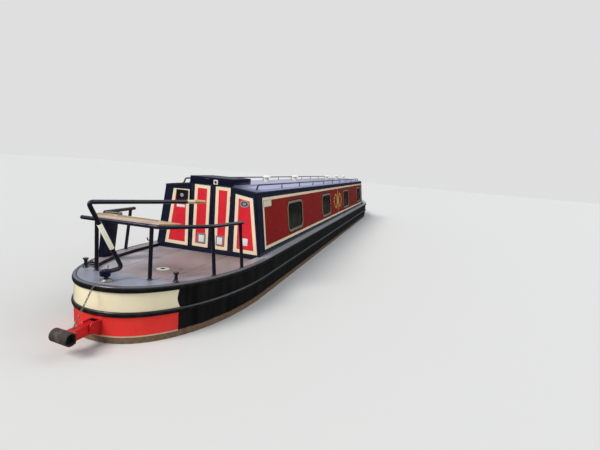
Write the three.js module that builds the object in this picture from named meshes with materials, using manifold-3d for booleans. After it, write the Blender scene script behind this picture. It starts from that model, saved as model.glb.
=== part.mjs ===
// Narrowboat: a steel canal boat with a long cabin, an open stern deck and a short well deck.
// Units are millimetres. +X is starboard, +Y is towards the bow and +Z is up. The origin is on the
// underside of the base plate, on the centreline, in line with the cabin's rear bulkhead.
import * as THREE from "three";
import { mergeVertices } from "three/addons/utils/BufferGeometryUtils.js";
import Module from "manifold-3d";

const wasm = await Module();
wasm.setup();

// Driving dimensions
const SEAM = 0.4; // gap between pieces that touch
const CLEAR = 5; // gap round a piece that moves

const DECK = 1200; // side deck above the base plate's underside
const STERN_RISE = 0.021; // slope of the stern deck, up towards the stern
const SHEER_START = 13000;
const SHEER_RISE = 280; // rise of the foredeck at the stem
const SHEER_LENGTH = 2927;
const DECK_EDGE = 5; // the stern deck plate stops this far inside the plating
const COUNTER = 550; // flat underside of the stern, above the rudder
const PLATE = 12; // thickness of the base plate

const CABIN_LENGTH = 12600;
const CABIN_HALF = 912; // half the cabin's width at the side deck
const TUMBLEHOME = 0.135; // how much a cabin side leans in for each unit of height
const SIDE_TOP = 2160;
const WALL = 55;
const BULKHEAD = 45;

const ROOF_HALF = 785;
const ROOF_EDGE = 2200;
const ROOF_CROWN = 2265;
const ROOF_LIP = 57; // width of the roof's edge that rests on a cabin side
const ROOF_SKIN = 45;

const RIM = 150; // width of the steel deck left round the sunken boards
const BOARDS_END = -1890;
const BOARD_THICKNESS = 25;
const BOARD_DROP = 45; // top of the boards below the side deck

// Half-plans of the hull's plating at several heights. All of them end in a point at the stem.
const HULL_LEVELS = [
  { z: COUNTER, half: 1030, stern: 2417, bowStart: 12750, stem: 15480 },
  { z: 935, half: 1040, stern: 2434, bowStart: 12900, stem: 15640 },
  { z: 1600, half: 990, stern: 2434, bowStart: 13073, stem: 15990 },
];
const STERN_POWER = 2.235; // exponent of the superellipse that rounds the stern
const BOW_POWER = 1.8;
const STERN_STEPS = 12;
const BOW_STEPS = 10;

// Half-plans under the counter, where the plating runs in to the stern post.
const SWIM_LEVELS = [
  { z: PLATE + SEAM, half: 1010, bowStart: 12600, stem: 15330 },
  { z: COUNTER + 2, half: 1030, bowStart: 12750, stem: 15480 },
];
const STERN_POST = -1600;
const STERN_POST_HALF = 25;
const SWIM_END = 1600;
const SWIM_POWER = 1.2;
const SWIM_STEPS = 8;

// Doors and sliding hatch
const DOORWAY = { port: -341, starboard: 367, split: 53, sill: 1222, top: 2255 };
const DOOR_THICKNESS = 33;
const HATCH_LENGTH = 760;
const HATCH_TOP = 2370;
const HATCH_WALL = 12;
const FRONT_DOORWAY = { half: 300, sill: 900, top: 2080 };

// Windows, by the place of their middle along the cabin
const WINDOW_CENTRES = [2115, 5130, 8380, 11510];
const WINDOW = { width: 1020, bottom: DECK + 180, top: DECK + 765, corner: 110 };
const WINDOW_FRAME = { width: 28, proud: 7 };
const GLASS = { thickness: 8, depth: 14 };

// Steering and drive
const STOCK = { y: -2285, radius: 22, bore: 29 };
const HELM_ANGLE = (-20 * Math.PI) / 180; // the tiller rests over to starboard
const PROPELLER = { y: -1850, z: 300, radius: 220 };

// Colours and finishes of the real surfaces
const finish = (color, roughness, metalness = 0) => ({ color, roughness, metalness });
const FINISHES = {
  bottomBlack: finish(0x17181b, 0.75),
  black: finish(0x141519, 0.4),
  navy: finish(0x181b38, 0.35),
  panelRed: finish(0xb01a28, 0.35),
  roofGrey: finish(0x9a9ab4, 0.45),
  deckGrey: finish(0x59606f, 0.5),
  boards: finish(0x84757a, 0.6),
  varnish: finish(0xc58f4c, 0.4),
  brass: finish(0xb08a3c, 0.3, 1),
  white: finish(0xe6e4de, 0.4),
  glass: finish(0x26332c, 0.1),
  engine: finish(0x4f6a56, 0.6),
  fenderRed: finish(0xb3202a, 0.4),
  rubber: finish(0x1b1816, 0.85),
  rope: finish(0x8b7a5c, 0.95),
  steel: finish(0x8f8f92, 0.35, 1),
};

const boat = new THREE.Group();

// Adds one named sub-part to the boat, or to a group that turns it.
function add(name, geometry, finishName, parent = boat) {
  const mesh = new THREE.Mesh(geometry, new THREE.MeshStandardMaterial(FINISHES[finishName]));
  mesh.name = name;
  parent.add(mesh);
  return mesh;
}

// Closed solids and booleans
function solidOf(geometry) {
  const bare = geometry.clone();
  bare.deleteAttribute("normal");
  bare.deleteAttribute("uv");
  const merged = mergeVertices(bare, 1e-3);
  return new wasm.Manifold(
    new wasm.Mesh({
      numProp: 3,
      vertProperties: merged.attributes.position.array,
      triVerts: new Uint32Array(merged.index.array),
    }),
  );
}

function geometryOf(solid) {
  const { vertProperties, triVerts } = solid.getMesh();
  const geometry = new THREE.BufferGeometry();
  geometry.setAttribute("position", new THREE.BufferAttribute(vertProperties, 3));
  geometry.setIndex(new THREE.BufferAttribute(triVerts, 1));
  return geometry;
}

const fuse = (first, ...others) =>
  geometryOf(others.reduce((solid, other) => solid.add(solidOf(other)), solidOf(first)));

const cut = (first, ...tools) =>
  geometryOf(tools.reduce((solid, tool) => solid.subtract(solidOf(tool)), solidOf(first)));

const common = (first, other) => geometryOf(solidOf(first).intersect(solidOf(other)));

// Moves each vertex with a function, which may shear or bend the shape.
function moved(geometry, change) {
  const position = geometry.attributes.position;
  const point = new THREE.Vector3();
  for (let i = 0; i < position.count; i++) {
    change(point.fromBufferAttribute(position, i));
    position.setXYZ(i, point.x, point.y, point.z);
  }
  return geometry;
}

// Plain shapes
const box = ([x0, x1], [y0, y1], [z0, z1]) =>
  new THREE.BoxGeometry(x1 - x0, y1 - y0, z1 - z0).translate(
    (x0 + x1) / 2,
    (y0 + y1) / 2,
    (z0 + z1) / 2,
  );

// A prism on a plan outline, from one height to another.
const planPrism = (outline, z0, z1) =>
  new THREE.ExtrudeGeometry(new THREE.Shape(outline.map(([x, y]) => new THREE.Vector2(x, y))), {
    depth: z1 - z0,
    bevelEnabled: false,
  }).translate(0, 0, z0);

// A prism on an outline drawn in X and Z, from one Y to another.
const crossPrism = (shape, y0, y1) =>
  new THREE.ExtrudeGeometry(shape, { depth: y1 - y0, bevelEnabled: false })
    .rotateX(Math.PI / 2)
    .translate(0, y1, 0);

// A prism on an outline drawn in Y and Z, from one X to another.
const sidePrism = (shape, x0, x1) =>
  new THREE.ExtrudeGeometry(shape, { depth: x1 - x0, bevelEnabled: false, curveSegments: 5 })
    .rotateX(Math.PI / 2)
    .rotateZ(Math.PI / 2)
    .translate(x0, 0, 0);

const polygon = (points) => new THREE.Shape(points.map(([u, v]) => new THREE.Vector2(u, v)));

// A round bar between two points.
function bar(from, to, radius, sides = 10) {
  const start = new THREE.Vector3(...from);
  const way = new THREE.Vector3(...to).sub(start);
  const turn = new THREE.Quaternion().setFromUnitVectors(
    new THREE.Vector3(0, 1, 0),
    way.clone().normalize(),
  );
  return new THREE.CylinderGeometry(radius, radius, way.length(), sides)
    .translate(0, way.length() / 2, 0)
    .applyQuaternion(turn)
    .translate(...from);
}

// A turned shape with an upright axis: rows of radius and height, from the axis to the axis.
const turned = (profile, sides = 16) =>
  new THREE.LatheGeometry(
    profile.map(([radius, height]) => new THREE.Vector2(radius, height)),
    sides,
  ).rotateX(Math.PI / 2);

// A route of straight runs and rounded corners, with one step to a run and several to a corner.
const CORNER_STEPS = 5;

class BentRoute extends THREE.Curve {
  constructor(points, reach) {
    super();
    this.steps = [];
    const corners = points.map((point) => new THREE.Vector3(...point));
    let last = corners[0];
    for (let i = 1; i < corners.length - 1; i++) {
      const towards = (other) =>
        other.clone().sub(corners[i]).setLength(reach).add(corners[i]);
      const before = towards(corners[i - 1]);
      const after = towards(corners[i + 1]);
      this.addSteps(new THREE.LineCurve3(last, before), 1);
      this.addSteps(new THREE.QuadraticBezierCurve3(before, corners[i], after), CORNER_STEPS);
      last = after;
    }
    this.addSteps(new THREE.LineCurve3(last, corners.at(-1)), 1);
  }

  addSteps(curve, count) {
    for (let k = 0; k < count; k++) {
      this.steps.push({ curve, from: k / count, to: (k + 1) / count });
    }
  }

  place(t) {
    const at = t * this.steps.length;
    const k = Math.min(Math.floor(at + 1e-6), this.steps.length - 1);
    const { curve, from, to } = this.steps[k];
    return { curve, local: from + (at - k) * (to - from) };
  }

  getPoint(t) {
    const { curve, local } = this.place(t);
    return curve.getPoint(local);
  }

  getTangent(t) {
    const { curve, local } = this.place(t);
    return curve.getTangent(local);
  }

  getPointAt(u) {
    return this.getPoint(u);
  }

  getTangentAt(u) {
    return this.getTangent(u);
  }
}

// A bent tube through points, with each corner rounded to the given reach.
function bentTube(points, radius, reach, sides = 10) {
  const route = new BentRoute(points, reach);
  const section = new THREE.Shape(
    Array.from({ length: sides }, (_, i) => {
      const angle = (2 * Math.PI * i) / sides;
      return new THREE.Vector2(radius * Math.cos(angle), radius * Math.sin(angle));
    }),
  );
  return new THREE.ExtrudeGeometry(section, {
    steps: route.steps.length,
    extrudePath: route,
    bevelEnabled: false,
  });
}

// A body through rings of points. Each ring runs counterclockwise seen from above.
function skin(rings, closedSection = false) {
  const count = rings[0].length;
  const index = [];
  const last = closedSection ? rings.length : rings.length - 1;
  for (let r = 0; r < last; r++) {
    const low = r * count;
    const high = ((r + 1) % rings.length) * count;
    for (let i = 0; i < count; i++) {
      const next = (i + 1) % count;
      index.push(low + i, low + next, high + next, low + i, high + next, high + i);
    }
  }
  if (!closedSection) {
    const top = (rings.length - 1) * count;
    for (const [a, b, c] of THREE.ShapeUtils.triangulateShape(
      rings[0].map(([x, y]) => new THREE.Vector2(x, y)),
      [],
    )) {
      index.push(a, c, b, top + a, top + b, top + c);
    }
  }
  const geometry = new THREE.BufferGeometry();
  geometry.setAttribute("position", new THREE.Float32BufferAttribute(rings.flat(2), 3));
  geometry.setIndex(index);
  return geometry;
}

// Both sides of a half-plan whose first and last points may lie on the centreline.
const bothSides = (half) => [
  ...half,
  ...half
    .filter(([x]) => x > 0)
    .reverse()
    .map(([x, y]) => [-x, y]),
];

// Hull plans
function bowHalf({ half, bowStart, stem }, steps) {
  return Array.from({ length: steps }, (_, k) => {
    const t = (k + 1) / steps;
    return [half * (1 - t ** BOW_POWER), bowStart + t * (stem - bowStart)];
  }).map(([x, y], k) => [k === steps - 1 ? 0 : x, y]);
}

function hullHalf(level) {
  const quarter = Array.from({ length: STERN_STEPS + 1 }, (_, k) => {
    const angle = (Math.PI / 2) * (k / STERN_STEPS);
    const x = level.half * Math.sin(angle) ** (2 / STERN_POWER);
    return [x, k === STERN_STEPS ? 0 : -level.stern * Math.cos(angle) ** (2 / STERN_POWER)];
  });
  return [...quarter, [level.half, level.bowStart], ...bowHalf(level, BOW_STEPS)];
}

function swimHalf(level) {
  const swim = Array.from({ length: SWIM_STEPS + 1 }, (_, k) => {
    const t = k / SWIM_STEPS;
    const spread = Math.sin((Math.PI / 2) * t) ** SWIM_POWER;
    return [
      STERN_POST_HALF + (level.half - STERN_POST_HALF) * spread,
      STERN_POST + t * (SWIM_END - STERN_POST),
    ];
  });
  return [...swim, [level.half, level.bowStart], ...bowHalf(level, BOW_STEPS)];
}

const HULL_RINGS = HULL_LEVELS.map((level) => bothSides(hullHalf(level)));

// A point of the plating at a height, moved out by a distance in plan.
function platingPoint(i, z, out = 0) {
  const upper = z > HULL_LEVELS[1].z ? 2 : 1;
  const [low, high] = [HULL_LEVELS[upper - 1], HULL_LEVELS[upper]];
  const share = (z - low.z) / (high.z - low.z);
  const at = (k) => {
    const count = HULL_RINGS[0].length;
    const a = HULL_RINGS[upper - 1][(k + count) % count];
    const b = HULL_RINGS[upper][(k + count) % count];
    return [a[0] + share * (b[0] - a[0]), a[1] + share * (b[1] - a[1])];
  };
  const [x, y] = at(i);
  const into = at(i - 1);
  const away = at(i + 1);
  const normals = [
    [y - into[1], into[0] - x],
    [away[1] - y, x - away[0]],
  ].map(([nx, ny]) => [nx / Math.hypot(nx, ny), ny / Math.hypot(nx, ny)]);
  const sum = [normals[0][0] + normals[1][0], normals[0][1] + normals[1][1]];
  const scale = (2 * out) / (sum[0] ** 2 + sum[1] ** 2);
  return [x + sum[0] * scale, y + sum[1] * scale];
}

// Height of the deck's edge at a place along the boat.
function deckHeight(y) {
  if (y < 0) return DECK - STERN_RISE * y;
  const t = Math.max(0, (y - SHEER_START) / SHEER_LENGTH);
  return DECK + SHEER_RISE * t * t;
}

// Plan at deck level, moved in by a distance, between two places along the boat.
function deckPlan(inset, y0, y1) {
  const outline = HULL_RINGS[0].map((_, i) => platingPoint(i, DECK, -inset));
  const hullPart = planPrism(outline, 0, 10);
  const slice = common(hullPart, box([-2000, 2000], [y0, y1], [-5, 15]));
  return slice;
}

// The solid of a deck plan between two heights, sloped with the stern deck.
const deckSlab = (inset, y0, y1, z0, z1) =>
  moved(deckPlan(inset, y0, y1), (p) => {
    p.z = (p.z > 5 ? z1 : z0) - STERN_RISE * Math.min(0, p.y);
  });

// Everything above the deck line, as a cutter.
function skyCutter() {
  const steps = 12;
  const line = [[-3000, deckHeight(-3000)], [0, DECK]];
  for (let k = 0; k <= steps; k++) {
    const y = SHEER_START + (k / steps) * (SHEER_LENGTH + 300);
    line.push([y, deckHeight(y)]);
  }
  return sidePrism(polygon([...line, [line.at(-1)[0], 3000], [-3000, 3000]]), -1500, 1500);
}

// Hull, with the cabin, engine bay, well deck and foredeck locker left open.
const WELL = { start: CABIN_LENGTH, end: 13900, floor: 760, inset: 120 };
const CABIN_END = CABIN_LENGTH - 60;
const ENGINE_WELL_FLOOR = 390;
const HULL_SPACES = [
  { name: "cabin", half: 857, start: SWIM_END, end: CABIN_END, floor: 160, top: DECK + 100 },
  { name: "aft cabin", half: 857, start: 60, end: SWIM_END + 1, floor: 640, top: DECK + 100 },
  { name: "aft cabin floor", half: 560, start: 60, end: SWIM_END + 1, floor: 160, top: 650 },
  { name: "engine bay", half: 600, start: -1650, end: -110, floor: 640, top: DECK + 100 },
  { name: "engine well", half: 285, start: -860, end: -110, floor: ENGINE_WELL_FLOOR, top: 650 },
  {
    name: "front doorway",
    half: FRONT_DOORWAY.half,
    start: CABIN_END - 1,
    end: CABIN_LENGTH + 1,
    floor: FRONT_DOORWAY.sill,
    top: DECK + 100,
  },
];
const LOCKER = { half: 260, start: 14200, end: 14750, floor: 850, coaming: 26 };

// The hull above the counter, grown by a distance.
const platedHull = (out) =>
  skin(HULL_LEVELS.map(({ z }) => HULL_RINGS[0].map((_, i) => [...platingPoint(i, z, out), z])));

function makeHull() {
  const lower = skin(
    SWIM_LEVELS.map((level) => bothSides(swimHalf(level)).map(([x, y]) => [x, y, level.z])),
  );
  const recess = BOARD_DROP + BOARD_THICKNESS;
  const shell = cut(
    fuse(platedHull(0), lower),
    skyCutter(),
    ...HULL_SPACES.map(({ half, start, end, floor, top }) =>
      box([-half, half], [start, end], [floor, top]),
    ),
    deckSlab(RIM, BOARDS_END, -8, DECK - recess, DECK + 100),
    deckSlab(-100, -2600, BOARDS_END - 6, DECK - 8, DECK + 100),
    deckSlab(WELL.inset, WELL.start, WELL.end, WELL.floor, DECK + 400),
    bar([0, STOCK.y, COUNTER - 50], [0, STOCK.y, DECK + 100], STOCK.bore, 20),
  );
  const coaming = deckFrame(LOCKER.half, LOCKER.start, LOCKER.end, -40, LOCKER.coaming);
  const space = deckFrame(
    LOCKER.half - 25,
    LOCKER.start + 25,
    LOCKER.end - 25,
    LOCKER.floor - DECK,
    LOCKER.coaming + 50,
  );
  const studPad = bar([0, BOW_STUD.y, BOW_STUD.z - 60], [0, BOW_STUD.y, BOW_STUD.z], 60, 20);
  const sternTube = bar(
    [0, STERN_POST + 120, PROPELLER.z],
    [0, STERN_POST - 120, PROPELLER.z],
    40,
    16,
  );
  return cut(fuse(shell, coaming, studPad, sternTube), space);
}

// A box on the foredeck that follows the deck's slope between its two ends.
function deckFrame(half, y0, y1, below, above) {
  const [z0, z1] = [deckHeight(y0), deckHeight(y1)];
  return sidePrism(
    polygon([[y0, z0 + below], [y1, z1 + below], [y1, z1 + above], [y0, z0 + above]]),
    -half,
    half,
  );
}

const BOW_STUD = { y: 15150, z: deckHeight(15150) + 12 };

// A rubbing strake: a bar that runs round the whole hull between two heights.
function strake(lower, upper, proud) {
  const edges = [
    [-30, lower],
    [proud * 0.6, lower],
    [proud, (y) => lower(y) + 14],
    [proud, (y) => upper(y) - 14],
    [proud * 0.6, upper],
    [-30, upper],
  ];
  const band = skin(
    edges.map(([out, height]) =>
      HULL_RINGS[0].map((_, i) => {
        const z = height(platingPoint(i, DECK)[1]);
        const [x, y] = platingPoint(i, z, out);
        return [x, y, z];
      }),
    ),
    true,
  );
  return cut(band, platedHull(SEAM));
}

// How far the lower strake lifts at each end of the hull.
const lowerLift = (y) => (deckHeight(y) - DECK) * 0.6;

add("hull", makeHull(), "black");
add("upper_strake", strake((y) => deckHeight(y) - 70, (y) => deckHeight(y), 28), "black");
add("lower_strake", strake((y) => 881 + lowerLift(y), (y) => 941 + lowerLift(y), 25), "black");

// Base plate, with the skeg that carries the foot of the rudder
const SKEG = { half: 32, end: -2345, height: 28 };
const RUDDER_CUP = { radius: 48, top: 66 };

function makeBasePlate() {
  const outline = bothSides(swimHalf({ ...SWIM_LEVELS[0], half: 1025, stem: 15345 }));
  return cut(
    fuse(
      planPrism(outline, 0, PLATE),
      box([-SKEG.half, SKEG.half], [SKEG.end, STERN_POST - 5], [0, SKEG.height]),
      box([-STERN_POST_HALF, STERN_POST_HALF], [STERN_POST - 10, STERN_POST + 100], [0, PLATE]),
      bar([0, STOCK.y, 0], [0, STOCK.y, RUDDER_CUP.top], RUDDER_CUP.radius, 20),
    ),
    bar([0, STOCK.y, SKEG.height], [0, STOCK.y, RUDDER_CUP.top + 10], STOCK.bore, 20),
  );
}
add("base_plate", makeBasePlate(), "bottomBlack");

// Steel stern deck with the gland where the rudder stock comes through
function makeSternDeck() {
  const top = deckHeight(STOCK.y);
  return cut(
    fuse(
      deckSlab(DECK_EDGE, -2600, BOARDS_END - 6 - SEAM, DECK - 8 + SEAM, DECK),
      bar([0, STOCK.y, top - 5], [0, STOCK.y, top + 18], 62, 20),
    ),
    bar([0, STOCK.y, DECK - 100], [0, STOCK.y, DECK + 200], STOCK.bore, 20),
  );
}
add("stern_deck", makeSternDeck(), "deckGrey");

// Lift-out boards over the engine bay
add(
  "deck_boards",
  deckSlab(
    RIM + 1,
    BOARDS_END + 1,
    -9,
    DECK - BOARD_DROP - BOARD_THICKNESS + SEAM,
    DECK - BOARD_DROP,
  ),
  "boards",
);

// Engine, a plain block in the well of its bay
add("engine", box([-265, 265], [-840, -150], [ENGINE_WELL_FLOOR + SEAM, 985]), "engine");

// Roof section: flat edges that rest on the cabin sides, and a cambered skin
const roofArc = (x, edge, crown, half) => crown - (crown - edge) * (x / half) ** 2;

function arcPoints(half, edge, crown, steps = 16) {
  return Array.from({ length: steps + 1 }, (_, k) => {
    const x = half - (2 * half * k) / steps;
    return [x, roofArc(x, edge, crown, half)];
  });
}

const roofTop = (x) => roofArc(x, ROOF_EDGE, ROOF_CROWN, ROOF_HALF);

function makeRoof() {
  const inner = arcPoints(ROOF_HALF - ROOF_LIP, SIDE_TOP + SEAM, ROOF_CROWN - ROOF_SKIN);
  const section = polygon([
    [ROOF_HALF, SIDE_TOP + SEAM],
    ...arcPoints(ROOF_HALF, ROOF_EDGE, ROOF_CROWN),
    [-ROOF_HALF, SIDE_TOP + SEAM],
    ...inner.reverse(),
  ]);
  const runners = [HATCH.port - CLEAR - 16, HATCH.starboard + CLEAR + 1].map((x) =>
    box([x, x + 15], [20, 1500], [roofTop(x) - 20, roofTop(x) + 22]),
  );
  return cut(
    fuse(crossPrism(section, -6, CABIN_LENGTH + 6), ...runners),
    box([DOORWAY.port, DOORWAY.starboard], [-20, HATCH_LENGTH - 60], [2000, 2600]),
  );
}

// Sliding hatch: a shallow box, open below, that closes over the rear doors
const HATCH = { port: -354, starboard: 379 };

function makeHatch() {
  const foot = roofTop(HATCH.starboard) + CLEAR + 1;
  return cut(
    box([HATCH.port, HATCH.starboard], [0, HATCH_LENGTH], [foot, HATCH_TOP]),
    box(
      [HATCH.port + HATCH_WALL, HATCH.starboard - HATCH_WALL],
      [BULKHEAD + 5, HATCH_LENGTH - 20],
      [foot - 50, HATCH_TOP - 22],
    ),
    box([HATCH.port - 5, HATCH.starboard + 5], [HATCH_LENGTH - 40, HATCH_LENGTH + 5],
      [foot - 50, ROOF_CROWN + CLEAR + 1]),
  );
}
add("roof", makeRoof(), "roofGrey");
add("slide_hatch", makeHatch(), "navy");

// Cabin sides, leaning in, with the windows cut and their frames standing proud
const cabinHalf = (z) => CABIN_HALF - TUMBLEHOME * (z - DECK);

function roundedRect(y0, y1, z0, z1, radius) {
  const shape = new THREE.Shape();
  shape.moveTo(y0 + radius, z0);
  shape.lineTo(y1 - radius, z0);
  shape.absarc(y1 - radius, z0 + radius, radius, -Math.PI / 2, 0);
  shape.lineTo(y1, z1 - radius);
  shape.absarc(y1 - radius, z1 - radius, radius, 0, Math.PI / 2);
  shape.lineTo(y0 + radius, z1);
  shape.absarc(y0 + radius, z1 - radius, radius, Math.PI / 2, Math.PI);
  shape.lineTo(y0, z0 + radius);
  shape.absarc(y0 + radius, z0 + radius, radius, Math.PI, 1.5 * Math.PI);
  return shape;
}

// A window-shaped prism, larger than the window by a margin, between two depths in the wall.
const windowPrism = (centre, margin, x0, x1) =>
  sidePrism(
    roundedRect(
      centre - WINDOW.width / 2 - margin,
      centre + WINDOW.width / 2 + margin,
      WINDOW.bottom - margin,
      WINDOW.top + margin,
      WINDOW.corner + margin,
    ),
    x0,
    x1,
  );

// Leans a slab built with its outer face at X = 0 onto a cabin side. side is 1 or -1.
function leaned(geometry, side) {
  moved(geometry, (p) => {
    p.x = side * (p.x + cabinHalf(p.z));
  });
  if (side < 0) {
    const index = Array.from(geometry.index.array);
    for (let i = 0; i < index.length; i += 3) {
      [index[i + 1], index[i + 2]] = [index[i + 2], index[i + 1]];
    }
    geometry.setIndex(index);
  }
  return geometry;
}

function makeCabinSide(side) {
  const slab = box(
    [-WALL, 0],
    [BULKHEAD + SEAM, CABIN_LENGTH - BULKHEAD - SEAM],
    [DECK + SEAM, SIDE_TOP],
  );
  const frames = WINDOW_CENTRES.map((centre) =>
    windowPrism(centre, WINDOW_FRAME.width, -5, WINDOW_FRAME.proud),
  );
  const holes = WINDOW_CENTRES.map((centre) => windowPrism(centre, 0, -WALL - 5, 50));
  return leaned(cut(fuse(slab, ...frames), ...holes), side);
}

const SIDES = { starboard: 1, port: -1 };
for (const [name, side] of Object.entries(SIDES)) {
  add(`cabin_side_${name}`, makeCabinSide(side), "panelRed");
  WINDOW_CENTRES.forEach((centre, i) => {
    const pane = windowPrism(centre, -SEAM, -GLASS.depth - GLASS.thickness, -GLASS.depth);
    add(`window_glass_${name}_${i + 1}`, leaned(fuse(pane), side), "glass");
  });
}

// Bulkheads: the rear one is open above for the doors, the front one closes over its doors
function bulkheadSection() {
  return [
    [cabinHalf(DECK), DECK + SEAM],
    [cabinHalf(SIDE_TOP), SIDE_TOP],
    ...arcPoints(ROOF_HALF - ROOF_LIP - 1, SIDE_TOP, ROOF_CROWN - ROOF_SKIN - 1),
    [-cabinHalf(SIDE_TOP), SIDE_TOP],
    [-cabinHalf(DECK), DECK + SEAM],
  ];
}

function makeRearBulkhead() {
  return cut(
    crossPrism(polygon(bulkheadSection()), 0, BULKHEAD),
    box([DOORWAY.port, DOORWAY.starboard], [-10, BULKHEAD + 10], [DOORWAY.sill, 2600]),
  );
}

function makeFrontBulkhead() {
  const { half, top } = FRONT_DOORWAY;
  return cut(
    crossPrism(polygon(bulkheadSection()), CABIN_LENGTH - BULKHEAD, CABIN_LENGTH),
    box([-half, half], [CABIN_LENGTH - 100, CABIN_LENGTH + 10], [DECK - 10, top]),
  );
}
add("rear_bulkhead", makeRearBulkhead(), "panelRed");
add("front_bulkhead", makeFrontBulkhead(), "panelRed");

// Rear doors, which open outwards over the stern deck
function makeRearDoor(x0, x1) {
  return box([x0, x1], [4, 4 + DOOR_THICKNESS], [DOORWAY.sill + CLEAR + 1, DOORWAY.top - CLEAR]);
}
add("rear_door_port", makeRearDoor(DOORWAY.port + CLEAR, DOORWAY.split - 3), "panelRed");
add("rear_door_starboard", makeRearDoor(DOORWAY.split + 3, DOORWAY.starboard - CLEAR), "panelRed");

// Front doors, which open outwards over the well deck
function makeFrontDoor(x0, x1) {
  const { sill, top } = FRONT_DOORWAY;
  const y1 = CABIN_LENGTH - 4;
  return box([x0, x1], [y1 - DOOR_THICKNESS, y1], [sill + CLEAR + 1, top - CLEAR]);
}
add("front_door_port", makeFrontDoor(-FRONT_DOORWAY.half + CLEAR, -3), "panelRed");
add("front_door_starboard", makeFrontDoor(3, FRONT_DOORWAY.half - CLEAR), "panelRed");

// Handrails along the roof, on short posts
const HANDRAIL = { x: 660, height: 76, radius: 14, start: 330, end: 12270 };
const HANDRAIL_POSTS = { first: 1650, pitch: 1250, count: 9 };

function makeHandrail(side) {
  const x = side * HANDRAIL.x;
  const foot = roofTop(HANDRAIL.x) - 15;
  const top = roofTop(HANDRAIL.x) + HANDRAIL.height;
  const posts = Array.from({ length: HANDRAIL_POSTS.count }, (_, k) => {
    const y = HANDRAIL_POSTS.first + k * HANDRAIL_POSTS.pitch;
    return bar([x, y, foot], [x, y, top], 8, 8);
  });
  const rail = bentTube(
    [
      [x, HANDRAIL.start, foot],
      [x, HANDRAIL.start + 60, top],
      [x, HANDRAIL.end - 60, top],
      [x, HANDRAIL.end, foot],
    ],
    HANDRAIL.radius,
    35,
    8,
  );
  const roofBody = polygon([
    [ROOF_HALF, SIDE_TOP],
    ...arcPoints(ROOF_HALF, ROOF_EDGE + SEAM, ROOF_CROWN + SEAM),
    [-ROOF_HALF, SIDE_TOP],
  ]);
  return cut(fuse(rail, ...posts), crossPrism(roofBody, 0, CABIN_LENGTH));
}
for (const [name, side] of Object.entries(SIDES)) {
  add(`handrail_${name}`, makeHandrail(side), "navy");
}

// Mushroom vents along the middle of the roof
const VENT_PLACES = [2600, 4800, 8900, 10800];
const VENT_PROFILE = [
  [0, 0],
  [62, 0],
  [62, 12],
  [44, 18],
  [44, 84],
  [92, 88],
  [92, 98],
  [70, 120],
  [35, 132],
  [0, 135],
];
VENT_PLACES.forEach((y, i) => {
  add(`roof_vent_${i + 1}`, turned(VENT_PROFILE).translate(0, y, ROOF_CROWN + SEAM), "white");
});

// Headlamp on the front edge of the roof
function makeHeadlamp() {
  const shell = turned([[0, 0], [26, 3], [50, 26], [59, 62], [59, 80], [0, 80]])
    .rotateX(-Math.PI / 2)
    .translate(0, CABIN_LENGTH - 210, ROOF_CROWN + 72);
  const foot = box([-18, 18], [CABIN_LENGTH - 190, CABIN_LENGTH - 150],
    [ROOF_CROWN + 1, ROOF_CROWN + 50]);
  return fuse(shell, foot);
}
add("headlamp", makeHeadlamp(), "steel");

// Studs that mooring lines are dropped over
const STUD_PROFILE = [
  [0, 0],
  [35, 0],
  [24, 24],
  [18, 52],
  [18, 80],
  [32, 98],
  [33, 112],
  [0, 112],
];
const STERN_STUDS = { port: [-605, -1915], starboard: [620, -1900] };
for (const [name, [x, y]] of Object.entries(STERN_STUDS)) {
  add(`stern_stud_${name}`, turned(STUD_PROFILE).translate(x, y, deckHeight(y) + 1.2), "black");
}
add("bow_stud", turned(STUD_PROFILE).translate(0, BOW_STUD.y, BOW_STUD.z + SEAM), "black");

// Guard rails round the stern deck. Heights are of the tube's middle.
const RAIL_RADIUS = 24;
const railHeight = (y) => 1818.8 - 0.01543 * y;
const onRail = ([x, y]) => [x, y, railHeight(y)];
const underDeck = ([x, y]) => [x, y, deckHeight(y) - 30];

// Everything below the stern deck's surface, as a cutter that gives each foot a flat end.
const belowDeck = () =>
  sidePrism(
    polygon([[-3000, 900], [0, 900], [0, DECK + SEAM], [-3000, deckHeight(-3000) + SEAM]]),
    -1500,
    1500,
  );

const STERN_RAIL = {
  route: [[-651, -1935], [424, -1940], [790, -1400], [906, -742]],
  posts: [
    { foot: [-395, -1975], head: [-436, -1936] },
    { foot: [340, -1990], head: [309, -1940] },
    { foot: [846, -1400], head: [790, -1400] },
    { foot: [958, -800], head: [897, -805] },
  ],
};
const PORT_RAIL = {
  route: [[-900, -630], [-825, -1370], [-570, -1335]],
  posts: [{ foot: [-945, -750], head: [-890, -728] }],
};

function makeRail({ route, posts }, reach) {
  const rail = bentTube(route.map(onRail), RAIL_RADIUS, reach);
  const legs = posts.map(({ foot, head }) => bar(underDeck(foot), onRail(head), 23));
  return cut(fuse(rail, ...legs), belowDeck());
}
add("stern_rail", fuse(makeRail(STERN_RAIL, 90), ...makeSeatBearers()), "navy");
add("port_rail", makeRail(PORT_RAIL, 55), "navy");

// Flat bars welded to the rail, which carry the seat board
function makeSeatBearers() {
  const z = railHeight(-1937);
  return [-365, 250].map((x) => box([x - 20, x + 20], [-1925, -1668], [z - 12, z + 2]));
}

// Seat board across the stern
const SEAT = {
  bottom: railHeight(-1937) + 2 + SEAM,
  thickness: 28,
  outline: [
    [-530, -1900],
    [370, -1882],
    [532, -1690],
    [400, -1692],
    [225, -1648],
    [-140, -1634],
    [-583, -1598],
    [-655, -1672],
  ],
};
add("seat_board", planPrism(SEAT.outline, SEAT.bottom, SEAT.bottom + SEAT.thickness), "varnish");

// Narrow steel locker on the port quarter, under the rail
const QUARTER_LOCKER = { aft: -1395, fore: -1150, outer: -882, inner: -800, lean: 53 };

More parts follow.
